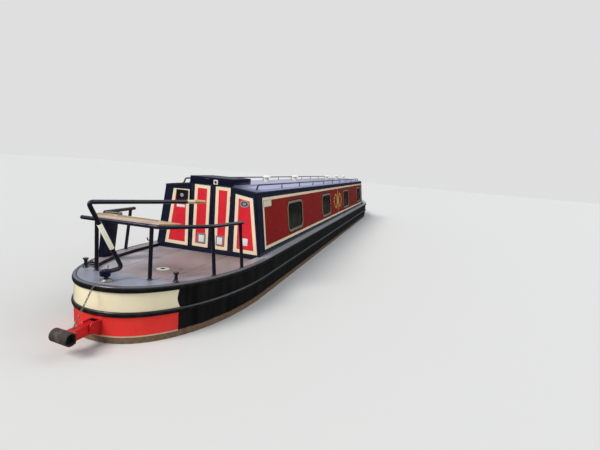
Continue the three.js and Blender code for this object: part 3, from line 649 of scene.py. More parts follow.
FINISHES = {
    "hull": HullFinish("hull_blacking", BLACK, 0.42, 0.08, dusty=0.05, chips=0.29, gloss=0.12),
    # On the strake the deck colours are a painted sheen on the top of the black bar, darker aft.
    "strake": HullFinish("strake_black", srgb(17, 17, 18), 0.34, 0.25, dusty=0.06, chips=0.3,
                         deck=srgb(112, 116, 122), aft_deck=srgb(74, 76, 84)),
    "bottom": Enamel("bottom_blacking", srgb(24, 24, 26), 0.7, 0.0, dusty=0.4, chips=0.34),
    "counter_cream": Enamel("counter_cream", srgb(238, 226, 192), 0.3, 0.2, dusty=0.05),
    "counter_red": Enamel("counter_red", srgb(233, 50, 44), 0.3, 0.25, dusty=0.04),
    "cabin": CabinFinish("cabin_navy", srgb(25, 29, 48), 0.26, 0.1, dusty=0.0, gloss=0.16),
    "navy": Enamel("navy_gloss", NAVY, 0.26, 0.08, dusty=0.0, gloss=0.1),
    "rail": Enamel("rail_navy", srgb(23, 22, 34), 0.26, 0.3, dusty=0.0, chips=0.26, gloss=0.25),
    "cream": Enamel("coach_cream", CREAM, 0.32, 0.25, dusty=0.04),
    "sleeve": Enamel("sleeve_cream", srgb(246, 240, 214), 0.36, 0.2, dusty=0.06),
    "panel": Enamel("panel_red", CRIMSON, 0.28, 0.3, dusty=0.02),
    # The cabin sides' red: a darker copy of the panels' red, painted shade.
    "side_red": Enamel("side_red", srgb(138, 24, 19), 0.28, 0.2, dusty=0.0, gloss=0.15, grit=0.0),
    "roof": RoofFinish("roof_paint", srgb(178, 179, 204), 0.42, 0.2, dusty=0.1),
    "deck": DeckFinish("deck_paint", srgb(132, 136, 151), 0.36, 0.2),
    "tide": Enamel("tide_line", srgb(196, 176, 146), 0.6, 0.0, dusty=0.3, gloss=0.15),
    "boards": BoardFinish("deck_boards"),
    "varnish": WoodFinish("varnished_board"),
    "grip": WoodFinish("turned_grip", srgb(212, 160, 98), srgb(170, 116, 60), (6, 0.6, 6), 0.6),
    "brass": MetalFinish("polished_brass", srgb(214, 178, 96), 0.24, tarnished=0.3, metal=0.8),
    "ferrule": MetalFinish("ferrule_brass", srgb(214, 202, 156), 0.34, tarnished=0.15, metal=0.3),
    "bronze": MetalFinish("propeller_bronze", srgb(176, 128, 74), 0.38, tarnished=0.6, metal=0.8),
    "frame": Enamel("window_frame", srgb(136, 122, 99), 0.34, 0.2, dusty=0.12),
    "steel": MetalFinish("dull_steel", srgb(150, 150, 152), 0.38, rust=0.36, metal=0.7),
    "chain": MetalFinish("chain_steel", srgb(132, 124, 114), 0.5, rust=0.42, metal=0.6),
    "glass": GlassFinish("window_glass"),
    "rubber": RubberFinish("perished_rubber"),
    "seal": Enamel("black_seal", srgb(20, 20, 20), 0.6, 0.0, dusty=0.05, gloss=0.15),
    "rope": RopeFinish("rope_work"),
    "gold": Enamel("gold_leaf", srgb(206, 170, 88), 0.34, 0.25, dusty=0.05),
    "white": Enamel("gloss_white", srgb(226, 224, 214), 0.3, 0.25, dusty=0.1),
    "sign": Enamel("sign_ivory", srgb(214, 209, 186), 0.4, 0.2, dusty=0.05),
    "plate": Enamel("plate_white", srgb(226, 226, 228), 0.4, 0.2, dusty=0.03),
    "grey": Enamel("cast_grey", srgb(150, 152, 154), 0.45, 0.1, dusty=0.1),
    "rim_grey": Enamel("plate_rim", srgb(122, 124, 128), 0.45, 0.1, dusty=0.1),
    "dark_grey": Enamel("plaque_grey", srgb(66, 68, 72), 0.4, 0.2, dusty=0.1),
    "pin": Enamel("rusty_pin", srgb(70, 52, 46), 0.6, 0.0, dusty=0.1),
    "fender_red": Enamel("fender_red", srgb(204, 28, 32), 0.3, 0.3, dusty=0.04, chips=0.27),
    "engine": Enamel("engine_green", srgb(72, 104, 82), 0.5, 0.1, dusty=0.3),
    "pink_edge": Enamel("board_edge", srgb(222, 196, 204), 0.45, 0.2, dusty=0.05),
}
# Material slot names, each with the finishes that it groups
SLOTS = {
    "hull_black": "hull strake counter_cream counter_red tide",
    "navy_paint": "navy rail",
    "coach_paint": "cream panel side_red gold",
    "white_paint": "sleeve white sign plate rim_grey",
    "bright_steel": "frame steel chain grey dark_grey pin",
    "polished_brass": "brass ferrule bronze",
    "varnished_wood": "varnish grip pink_edge",
    "fender_rubber": "rubber seal",
    "bottom_black": "bottom",
    "roof_paint": "roof",
    "deck_boards": "boards",
    "fender_rope": "rope",
    "fender_red": "fender_red",
}
SLOT_OF = {finish: slot for slot, finishes in SLOTS.items() for finish in finishes.split()}
MATERIALS: dict[str, bpy.types.Material] = {}


def material(finish: str) -> bpy.types.Material:
    """Returns a finish's material, made once."""
    if finish not in MATERIALS:
        MATERIALS[finish] = FINISHES[finish].make()
    return MATERIALS[finish]


def dress(finish: str, *nodes: str) -> None:
    """Gives CAD nodes whose shape stays a finish."""
    for node in nodes:
        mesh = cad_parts[node].data
        mesh.materials.clear()
        mesh.materials.append(material(finish))
        LOG.info("dressed %s in %s", node, finish)


# Shapes

CORNER_STEPS = 8
# Reach and size of the rings of a domed end, as shares of its radius
DOME = ((0.55, 0.83), (0.9, 0.44), (1.0, 0.12))
# The back of a painted plate lies a little inside the face that carries it
SUNK = -0.0004


def circle(steps: int) -> list[Point]:
    """Returns the cosine and sine of each step of a full turn."""
    angles = [2 * math.pi * k / steps for k in range(steps)]
    return [(math.cos(angle), math.sin(angle)) for angle in angles]


def rounded_route(corners: Sequence[Sequence[float]], reach: float, steps: int) -> list[Vector]:
    """Rounds the corners of a route.

    Args:
        corners: the route's points.
        reach: how far from each corner its curve starts.
        steps: the steps in each curve.

    Returns:
        The points of the rounded route.
    """
    points = [Vector(corner) for corner in corners]
    route = [points[0]]
    for before, corner, after in zip(points, points[1:], points[2:]):
        start = corner + (before - corner).normalized() * reach
        end = corner + (after - corner).normalized() * reach
        for k in range(steps + 1):
            t = k / steps
            route.append(start * (1 - t) ** 2 + corner * (2 * t * (1 - t)) + end * t * t)
    return [*route, points[-1]]


def rounded_rect(rect: Rect, radius: float, margin: float = 0.0) -> list[Point]:
    """Returns the outline of a rectangle with round corners.

    Args:
        rect: its two ends across and its two ends up.
        radius: the radius of its corners.
        margin: how far it is drawn in from those ends.
    """
    u0, u1, v0, v1 = rect
    left, right = u0 + margin + radius, u1 - margin - radius
    foot, head = v0 + margin + radius, v1 - margin - radius
    points = []
    for quarter, (u, v) in enumerate([(right, foot), (right, head), (left, head), (left, foot)]):
        for k in range(CORNER_STEPS + 1):
            angle = math.pi / 2 * (quarter - 1 + k / CORNER_STEPS)
            points.append((u + radius * math.cos(angle), v + radius * math.sin(angle)))
    return points


def inset(outline: Outline, distance: float) -> list[Point]:
    """Moves each edge of a counterclockwise outline inwards by a distance."""
    points = [Vector(point) for point in outline]
    moved = []
    for i, corner in enumerate(points):
        before = (corner - points[i - 1]).normalized()
        after = (points[(i + 1) % len(points)] - corner).normalized()
        lean = Vector((-before.y - after.y, before.x + after.x))
        moved.append(tuple(corner + lean * (2 * distance / lean.length_squared)))
    return moved


def oval(u: float, v: float, across: float, tall: float, steps: int = 32) -> list[Point]:
    """Returns the outline of an oval round a point."""
    return [(u + across / 2 * c, v + tall / 2 * s) for c, s in circle(steps)]


def sharp_edges(bm: bmesh.types.BMesh, angle: float) -> list[bmesh.types.BMEdge]:
    """Returns the edges between two faces that turn by more than an angle in radians."""
    return [e for e in bm.edges if len(e.link_faces) == 2 and e.calc_face_angle(0) > angle]


def round_edges(bm: bmesh.types.BMesh, edges: list, width: float, segments: int) -> None:
    """Bevels some edges of a mesh."""
    bmesh.ops.bevel(
        bm, geom=edges, offset=width, segments=segments, profile=0.5, material=-1,
        affect="EDGES", clamp_overlap=True,
    )


class Shape:
    """A mesh in the making, worked with bmesh operators."""

    def __init__(self) -> None:
        """Starts empty."""
        self.bm = bmesh.new()

    @classmethod
    def of_node(cls, node: str) -> "Shape":
        """Returns a merged copy of a CAD node, with its flat faces joined."""
        shape = cls()
        shape.bm.from_mesh(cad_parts[node].data)
        bmesh.ops.remove_doubles(shape.bm, verts=shape.bm.verts[:], dist=1e-5)
        bmesh.ops.dissolve_limit(
            shape.bm,
            angle_limit=math.radians(1.0),
            verts=shape.bm.verts[:],
            edges=shape.bm.edges[:],
        )
        return shape

    def block(self, low: Sequence[float], high: Sequence[float]) -> "Shape":
        """Adds a box between two corners."""
        verts = bmesh.ops.create_cube(self.bm, size=1.0)["verts"]
        low, high = Vector(low), Vector(high)
        bmesh.ops.scale(self.bm, vec=high - low, verts=verts)
        bmesh.ops.translate(self.bm, vec=(low + high) / 2, verts=verts)
        return self

    def loft(self, rings: Sequence[Sequence[Vector]], looped: bool = False) -> "Shape":
        """Adds a skin through closed rings of points.

        Args:
            rings: the rings, each with the same number of points.
            looped: whether the last ring lies on the first. If not, both ends are closed.
        """
        bm = self.bm
        row = [bm.verts.new(point) for point in rings[0]]

        def ring_edges(verts: list) -> list:
            """Returns the edges round one ring, made where they are missing."""
            pairs = zip(verts, [*verts[1:], verts[0]])
            return [bm.edges.get(pair) or bm.edges.new(pair) for pair in pairs]

        caps = [ring_edges(row)]
        for ring in rings[1:]:
            made = bmesh.ops.extrude_edge_only(bm, edges=ring_edges(row))["geom"]
            fresh = {part for part in made if isinstance(part, bmesh.types.BMVert)}
            row = [
                next(e.other_vert(vert) for e in vert.link_edges if e.other_vert(vert) in fresh)
                for vert in row
            ]
            for vert, point in zip(row, ring):
                vert.co = point
        if looped:
            bmesh.ops.remove_doubles(bm, verts=bm.verts[:], dist=1e-6)
            return self
        for edges in (*caps, ring_edges(row)):
            bmesh.ops.contextual_create(bm, geom=edges)
        return self

    def tube(
        self, route: Sequence[Vector], radius: float, sides: int = 20, ball: bool = False
    ) -> "Shape":
        """Adds a round tube along a route.

        Args:
            route: the points of its middle.
            radius: the tube's radius.
            sides: the sides of its section.
            ball: whether its ends are domed instead of flat.
        """
        points = [Vector(point) for point in route]
        sizes = [radius] * len(points)
        if ball:
            start = (points[0] - points[1]).normalized() * radius
            end = (points[-1] - points[-2]).normalized() * radius
            head = [points[0] + start * reach for reach, _ in reversed(DOME)]
            tail = [points[-1] + end * reach for reach, _ in DOME]
            near = [radius * share for _, share in DOME]
            points, sizes = [*head, *points, *tail], [*reversed(near), *sizes, *near]
        ways = [(b - a).normalized() for a, b in zip(points, points[1:])]
        ways = [ways[0], *[(a + b).normalized() for a, b in zip(ways, ways[1:])], ways[-1]]
        across = ways[0].orthogonal().normalized()
        rings = []
        for point, way, size in zip(points, ways, sizes):
            across = (across - way * across.dot(way)).normalized()
            other = way.cross(across)
            rings.append([point + (across * c + other * s) * size for c, s in circle(sides)])
        return self.loft(rings)

    def turned(
        self,
        profile: Sequence[tuple[float, float]],
        centre: Sequence[float],
        axis: Sequence[float] = (0, 0, 1),
        steps: int = 32,
    ) -> "Shape":
        """Adds a turned form.

        Args:
            profile: rows of radius and height, from the axis to the axis.
            centre: where the profile's height 0 stands on the axis.
            axis: which way the height runs.
            steps: the steps of the full turn.
        """
        part = bmesh.new()
        verts = [part.verts.new((radius, 0, height)) for radius, height in profile]
        edges = [part.edges.new(pair) for pair in zip(verts, verts[1:])]
        bmesh.ops.spin(
            part, geom=verts + edges, cent=(0, 0, 0), axis=(0, 0, 1), dvec=(0, 0, 0),
            angle=2 * math.pi, steps=steps, use_merge=True, use_duplicate=False,
        )
        bmesh.ops.remove_doubles(part, verts=part.verts[:], dist=1e-6)
        turn = Vector((0, 0, 1)).rotation_difference(Vector(axis)).to_matrix().to_4x4()
        return self.join(part, Matrix.Translation(Vector(centre)) @ turn)

    def join(self, part: bmesh.types.BMesh, matrix: Matrix | None = None) -> "Shape":
        """Adds another mesh to this one, moved by a matrix, and frees it."""
        if matrix is not None:
            bmesh.ops.transform(part, matrix=matrix, verts=part.verts[:])
        spare = bpy.data.meshes.new("spare")
        part.to_mesh(spare)
        part.free()
        self.bm.from_mesh(spare)
        bpy.data.meshes.remove(spare)
        return self

    def plate(
        self,
        outline: Outline,
        thickness: float,
        place: Place,
        holes: Iterable[Outline] = (),
        base: float = 0.0,
        edge: float = 0.0,
    ) -> "Shape":
        """Adds a flat plate with holes.

        Args:
            outline: its outer outline in its own plane.
            thickness: how far it stands out.
            place: turns the plate's two coordinates and its height into a point of the boat.
            holes: the outlines of its holes.
            base: the height of its back.
            edge: the width of the bevel round its front.
        """
        part = bmesh.new()
        edges = []
        for loop in (outline, *holes):
            verts = [part.verts.new((u, v, base)) for u, v in loop]
            edges += [part.edges.new((verts[i - 1], verts[i])) for i in range(len(verts))]
        bmesh.ops.triangle_fill(part, use_beauty=True, use_dissolve=False, edges=edges)
        bmesh.ops.dissolve_limit(
            part, angle_limit=0.01, verts=part.verts[:], edges=part.edges[:],
            use_dissolve_boundaries=False,
        )
        made = bmesh.ops.extrude_face_region(part, geom=part.faces[:])["geom"]
        top = [vert for vert in made if isinstance(vert, bmesh.types.BMVert)]
        bmesh.ops.translate(part, vec=(0, 0, thickness), verts=top)
        bmesh.ops.recalc_face_normals(part, faces=part.faces[:])
        if edge:
            front = base + thickness / 2
            rims = [e for e in sharp_edges(part, 0.5) if all(v.co.z > front for v in e.verts)]
            round_edges(part, rims, edge, 3)
        for vert in part.verts:
            vert.co = place(*vert.co)
        return self.join(part)

    def bevel(self, width: float, segments: int = 2, angle: float = 35.0) -> "Shape":
        """Rounds the edges that turn by more than an angle in degrees."""
        round_edges(self.bm, sharp_edges(self.bm, math.radians(angle)), width, segments)
        return self

    def slice(self, point: Sequence[float], normal: Sequence[float]) -> "Shape":
        """Cuts off what lies in front of a plane and closes the cut."""
        geom = [*self.bm.verts, *self.bm.edges, *self.bm.faces]
        cut = bmesh.ops.bisect_plane(
            self.bm, geom=geom, plane_co=point, plane_no=normal, clear_outer=True
        )["geom_cut"]
        edges = [part for part in cut if isinstance(part, bmesh.types.BMEdge)]
        bmesh.ops.contextual_create(self.bm, geom=edges)
        return self

    def move(self, matrix: Matrix) -> "Shape":
        """Moves the whole shape by a matrix."""
        bmesh.ops.transform(self.bm, matrix=matrix, verts=self.bm.verts[:])
        return self

    def finish(
        self,
        name: str,
        finish: str,
        body: str = ROOT,
        slot: str | None = None,
        smooth: float = 35.0,
    ) -> bpy.types.Object:
        """Makes the piece and hangs it on its body.

        Args:
            name: the piece's name. One that ends in _form replaces the CAD node it is named after.
            finish: the name of its finish.
            body: the CAD body that it rides on.
            slot: a material slot name, or nothing for its finish's own. It is not used.
            smooth: edges that turn by more than this many degrees stay sharp.

        Returns:
            The new object.
        """
        bmesh.ops.recalc_face_normals(self.bm, faces=self.bm.faces[:])
        mesh = bpy.data.meshes.new(name)
        self.bm.to_mesh(mesh)
        self.bm.free()
        mesh.shade_smooth()
        mesh.set_sharp_from_angle(angle=math.radians(smooth))
        mesh.materials.append(material(finish))
        piece = bpy.data.objects.new(name, mesh)
        bpy.context.scene.collection.objects.link(piece)
        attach(piece, body)
        if name.endswith("_form"):
            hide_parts(name.removesuffix("_form"))
        slot = SLOT_OF[finish] if slot is None else slot
        LOG.info("made %s, %d faces", name, len(mesh.polygons))
        return piece


def soften(
    node: str, finish: str, width: float, body: str = ROOT, segments: int = 2, angle: float = 35.0
) -> bpy.types.Object:
    """Replaces a CAD node by a copy of it with rounded edges."""
    shape = Shape.of_node(node).bevel(width, segments, angle)
    return shape.finish(f"{node}_form", finish, body, slot="")


# Hull


@dataclass(frozen=True)
class Level:
    """A half-plan of the plating at one height."""

    z: float
    half: float
    stern: float
    bow_start: float
    stem: float


@dataclass
class HullLines:
    """The smooth lines of the hull above its counter.

    A station runs from -3 at the stem, along the port side to 0 at the stern, and along the
    starboard side to 3 at the stem: 1 is the end of the round stern and 2 the start of the bow.
    """

    levels: tuple[Level, ...] = (
        Level(0.550, 1.030, 2.417, 12.750, 15.480),
        Level(0.935, 1.040, 2.434, 12.900, 15.640),
        Level(1.600, 0.990, 2.434, 13.073, 15.990),
    )
    stern_power: float = 2.235
    bow_power: float = 1.8
    probe: float = 0.002

    def on_level(self, station: float, level: Level) -> Vector:
        """Returns the plan's point at a station of one level."""
        side = math.copysign(1.0, station)
        along = abs(station)
        if along <= 1:
            angle = math.pi / 2 * along
            x = level.half * math.sin(angle) ** (2 / self.stern_power)
            y = -level.stern * max(0.0, math.cos(angle)) ** (2 / self.stern_power)
            return Vector((side * x, y))
        if along <= 2:
            return Vector((side * level.half, (along - 1) * level.bow_start))
        share = min(1.0, along - 2)
        x = level.half * (1 - share ** self.bow_power)
        return Vector((side * x, level.bow_start + share * (level.stem - level.bow_start)))

    def plan(self, station: float, z: float) -> Vector:
        """Returns the plan's point at a station and a height."""
        upper = 2 if z > self.levels[1].z else 1
        low, high = self.levels[upper - 1], self.levels[upper]
        share = (z - low.z) / (high.z - low.z)
        return self.on_level(station, low).lerp(self.on_level(station, high), share)

    def point(self, station: float, z: float, out: float = 0.0) -> Vector:
        """Returns a point of the plating, moved out by a distance in plan."""
        here = self.plan(station, z)
        ends = [max(-3.0, min(3.0, station + step)) for step in (-self.probe, self.probe)]
        way = self.plan(ends[1], z) - self.plan(ends[0], z)
        normal = Vector((way.y, -way.x)).normalized()
        if abs(station) > 3 - self.probe:
            return Vector((0, here.y + out / normal.y, z))
        return Vector((*(here + normal * out), z))

    def stations(self, start: float, end: float) -> list[float]:
        """Returns the stations between two, close together only where the plan bends."""
        pitches = (1 / 40, 1 / 12, 1 / 28)
        marks = [start]
        while marks[-1] < end - 1e-6:
            at = marks[-1] + 1e-6
            pitch = pitches[min(2, int(abs(at)))]
            marks.append(min(end, (math.floor(at / pitch) + 1) * pitch))
        return marks

    def band(self, section: Section, end: float, ease: Height = lambda z: 0.0) -> Shape:
        """Makes a bar or plate that follows the plating round the stern.

        Args:
            section: gives the closed section at a place along the boat, as rows of distance out
                and height.
            end: the station of its two ends, 3 for a band that goes right round.
            ease: how far both ends draw back at a height, in stations.

        Returns:
            The shape.
        """
        rings = []
        for station in self.stations(-end, end):
            y = self.plan(station, DECK).y
            rings.append([
                self.point(station * (1 - ease(z) / end), z, out) for out, z in section(y)
            ])
        return Shape().loft(rings, looped=end == 3.0)


@dataclass
class Hull:
    """The hull's plating, strakes and counter bands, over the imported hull."""

    lines: HullLines = field(default_factory=HullLines)
    skin: float = 0.0015
    band_skin: float = 0.0035
    tuck: float = 0.006
    inner: float = -0.012
    cream_end: float = 0.444
    red_end: float = 0.436
    scallop: float = 0.014
    scallop_middle: float = 1.075
    scallop_reach: float = 0.115
    tide_half: float = 0.008
    lower_strake: tuple[float, float] = (0.881, 0.941)
    lower_proud: float = 0.025
    upper_depth: float = 0.070
    upper_proud: float = 0.028

    def lower_lift(self, y: float) -> float:
        """Returns how far the lower strake lifts towards the hull's ends."""
        return (deck_height(y) - DECK) * 0.6

    def skin_section(self, low: Height, high: Height, out: float) -> Section:
        """Returns the section of a thin plate between two heights, bent at the knuckle."""
        knuckle = self.lines.levels[1].z

        def section(y: float) -> list[Point]:
            """Returns the section at a place along the boat."""
            bottom, top = low(y), high(y)
            middle = knuckle if bottom < knuckle < top else (bottom + top) / 2
            heights = [bottom, (bottom + middle) / 2, middle, (middle + top) / 2, top]
            return [(out, z) for z in heights] + [(self.inner, z) for z in reversed(heights)]

        return section

    def strake_section(self, low: Height, high: Height, proud: float) -> Section:
        """Returns the section of a bar with a rounded face."""
        def section(y: float) -> list[Point]:
            """Returns the section at a place along the boat."""
            bottom, top = low(y), high(y)
            face = []
            for k in range(11):
                angle = math.pi * (k / 10 - 0.5)
                out = proud * math.copysign(abs(math.cos(angle)) ** 0.55, math.cos(angle))
                face.append((out, bottom + (top - bottom) / 2 * (1 + math.sin(angle))))
            return face + [(self.inner, top), (self.inner, bottom)]

        return section

    def seam(self, y: float) -> list[Point]:
        """Returns the section of the dark seam along the stern deck's edge."""
        z = deck_height(y)
        return [(-0.020, z), (-0.012, z), (-0.012, z + 0.0018), (-0.020, z + 0.0018)]

    def scalloped(self, z: float) -> float:
        """Returns how far the cream band's curved ends draw back at a height."""
        return self.scallop * max(0.0, 1 - ((z - self.scallop_middle) / self.scallop_reach) ** 2)

    def build(self) -> None:
        """Makes the plating and everything that runs round it."""
        dress("hull", "hull")
        dress("bottom", "base_plate")
        low = lambda y: self.lower_strake[0] + self.lower_lift(y)
        high = lambda y: self.lower_strake[1] + self.lower_lift(y)
        upper = lambda y: deck_height(y) - self.upper_depth
        tide, band = self.tide_half, self.band_skin
        skin, strake, flush = self.skin_section, self.strake_section, lambda z: 0.0
        rows = [
            ("hull_plating", "hull", 3.0, flush,
             skin(lambda y: 0.556, lambda y: deck_height(y) - 0.012, self.skin)),
            ("counter_cream_band", "counter_cream", self.cream_end, self.scalloped,
             skin(lambda y: high(y) - self.tuck, lambda y: upper(y) + self.tuck, band)),
            ("counter_red_band", "counter_red", self.red_end, flush,
             skin(lambda y: SCUM_LINE, lambda y: low(y) + self.tuck, band)),
            ("counter_tide_line", "tide", self.red_end, flush,
             skin(lambda y: SCUM_LINE - tide, lambda y: SCUM_LINE + tide, band + 0.0005)),
            ("deck_edge_seam", "seal", 1.0, flush, self.seam),
            ("upper_strake_form", "strake", 3.0, flush,
             strake(upper, lambda y: deck_height(y) + 0.001, self.upper_proud)),
            ("lower_strake_form", "strake", 3.0, flush, strake(low, high, self.lower_proud)),
        ]
        for name, finish, end, ease, section in rows:
            self.lines.band(section, end, ease).finish(name, finish, slot="hull_black")
        route = [self.lines.point(3.0, z, -0.004) for z in (0.56, 0.75, 0.935, 1.2, 1.44)]
        Shape().tube(route, 0.018, ball=True).finish("stem_bar", "hull")


# Cabin


@dataclass
class WindowRow:
    """The windows of a cabin side."""

    centres: tuple[float, ...] = (2.115, 5.130, 8.380, 11.510)
    width: float = 1.020
    bottom: float = DECK + 0.180
    top: float = DECK + 0.765
    corner: float = 0.110
    frame_width: float = 0.030
    proud: float = 0.0095
    lip: float = 0.027

    def outline(self, centre: float, margin: float, lip: float | None = None) -> list[Point]:
        """Returns a window's outline.

        Args:
            centre: the place of its middle along the cabin.
            margin: how much larger than the pane it is.
            lip: how far the top and bottom rails reach into the opening.
        """
        rail = self.lip if lip is None else lip
        half = self.width / 2
        rect = (centre - half - margin, centre + half + margin,
                self.bottom - margin + rail, self.top + margin - rail)
        return rounded_rect(rect, self.corner + margin)


@dataclass
class CabinSide:
    """One side of the cabin: coach lines, panel, windows and a blank sign."""

    side: Side
    windows: WindowRow = field(default_factory=WindowRow)
    line: float = 0.050
    aft: float = 0.265
    fore: float = 12.430
    low: float = 1.275
    high: float = 2.105
    paint_build: float = 0.0012
    sign_rect: Rect = (0.300, 0.680, 1.950, 2.060)
    scroll_centre: Point = (6.84, 1.694)

    def rectangle(self, along: float, up: float) -> list[Point]:
        """Returns the side's rectangle, drawn in by a width along and a height."""
        u0, u1, v0, v1 = self.aft + along, self.fore - along, self.low + up, self.high - up
        return [(u0, v0), (u1, v0), (u1, v1), (u0, v1)]

    def place(self, u: float, v: float, w: float) -> Vector:
        """Puts a point of the side's own plane on the leaning side."""
        return Vector((self.side.value * (cabin_half(v) + w), u, v))

    def build(self) -> None:
        """Makes the side's pieces."""
        word = self.side.word
        dress("cabin", f"cabin_side_{word}")
        dress("glass", *[f"window_glass_{word}_{i + 1}" for i in range(4)])
        outer, inner = self.rectangle(0.0, 0.0), self.rectangle(0.060, self.line)
        Shape().plate(outer, self.paint_build, self.place, [inner], SUNK).finish(
            f"side_line_{word}", "cream"
        )
        # The red panel, in the darker copy of the red: painted shade on the cabin side.
        holes = [self.windows.outline(centre, 0.004) for centre in self.windows.centres]
        panel = self.rectangle(0.058, self.line - 0.002)
        Shape().plate(panel, self.paint_build * 0.75, self.place, holes, SUNK).finish(
            f"side_panel_{word}", "side_red"
        )
        for i, centre in enumerate(self.windows.centres):
            self.window(centre, f"{word}_{i + 1}")
        # The sign's rim, in the window frames' colour, is partly painted shade along the sign's
        # edges.
        rim, face = rounded_rect(self.sign_rect, 0.02), rounded_rect(self.sign_rect, 0.015, 0.006)
        Shape().plate(rim, 0.004, self.place, edge=0.001).finish(
            f"side_sign_{word}_rim", "frame", slot="white_paint"
        )
        Shape().plate(face, 0.0016, self.place, base=0.003).finish(f"side_sign_{word}", "sign")
        Scrollwork(self.place, *self.scroll_centre).build(f"side_scroll_{word}")

    def window(self, centre: float, label: str) -> None:
        """Makes one window's frame and its rubber seal."""
        row = self.windows
        outer, lip = row.outline(centre, row.frame_width), row.outline(centre, -0.004, 0.038)
        Shape().plate(outer, row.proud + 0.002, self.place, [lip], -0.002, 0.003).finish(
            f"window_frame_{label}", "frame"
        )
        edge, seal = row.outline(centre, 0.0, 0.0), row.outline(centre, -0.014, 0.036)
        Shape().plate(edge, 0.0145, self.place, [seal], -0.0145, 0.002).finish(
            f"window_seal_{label}", "seal"
        )


@dataclass
class Scrollwork:
    """A generic painted ornament: a lozenge between mirrored scrolls and dots."""

    place: Place
    u: float
    v: float
    tall: float = 2.02
    wide: float = 1.16
    line: float = 0.052
    proud: float = 0.0026
    steps: int = 28

    def ribbon(self, points: list[Vector], shape: Shape) -> None:
        """Adds a flat ribbon that thins to a point at its far end."""
        left, right = [], []
        last = len(points) - 1
        for i, point in enumerate(points):
            way = (points[min(last, i + 1)] - points[max(0, i - 1)]).normalized()
            across = Vector((-way.y, way.x)) * self.line * (1 - 0.75 * i / last) / 2
            left.append(tuple(point + across))
            right.append(tuple(point - across))
        shape.plate(right + left[::-1], self.proud, self.place)

    def spiral(self, start: float, turns: float, across: int, up: int) -> list[Vector]:
        """Returns the points of one scroll, from the middle out to its curl."""
        points = []
        for k in range(self.steps + 1):
            t = k / self.steps
            angle = turns * 2 * math.pi * t
            radius = 0.115 * (1 - 0.82 * t)
            at = Vector((start + 0.26 * min(1.0, 1.6 * t), 0.0))
            at += Vector((-math.cos(angle), math.sin(angle))) * radius
            points.append(Vector((self.u + across * at.x * self.wide,
                                  self.v + up * at.y * self.tall)))
        return points

    def build(self, name: str) -> None:
        """Makes the ornament."""
        shape = Shape()
        lozenge = [(0.105, 0.0), (0.0, 0.165), (-0.105, 0.0), (0.0, -0.165)]
        outer = [(self.u + a * self.wide, self.v + b * self.tall) for a, b in lozenge]
        shape.plate(outer, self.proud, self.place, [inset(outer, 0.040)])
        shape.plate(oval(self.u, self.v, 0.09, 0.22, 20), self.proud, self.place)
        for across in (-1, 1):
            for up in (-1, 1):
                self.ribbon(self.spiral(0.235, 1.25, across, up), shape)
            for k, size in enumerate((0.062, 0.050, 0.036)):
                middle = self.u + across * (0.58 + 0.065 * k)
                shape.plate(oval(middle, self.v, size, size, 14), self.proud, self.place)
        shape.finish(name, "gold")


@dataclass(frozen=True)
class CoachPanel:
    """A red panel with a cream line round it, on a bulkhead or a door."""

    name: str
    outline: tuple[Point, ...]
    border: float
    body: str = ROOT
    face: float = 0.0
    way: int = -1

    def place(self, u: float, v: float, w: float) -> Vector:
        """Puts a point of the panel on its upright face."""
        return Vector((u, self.face + self.way * w, v))

    def build(self) -> None:
        """Makes the line and the panel."""
        line, panel = inset(self.outline, self.border), inset(self.outline, self.border - 0.002)
        Shape().plate(self.outline, 0.0014, self.place, [line], SUNK).finish(
            f"{self.name}_line", "cream", self.body
        )
        Shape().plate(panel, 0.001, self.place, base=SUNK).finish(
            f"{self.name}_panel", "panel", self.body
        )


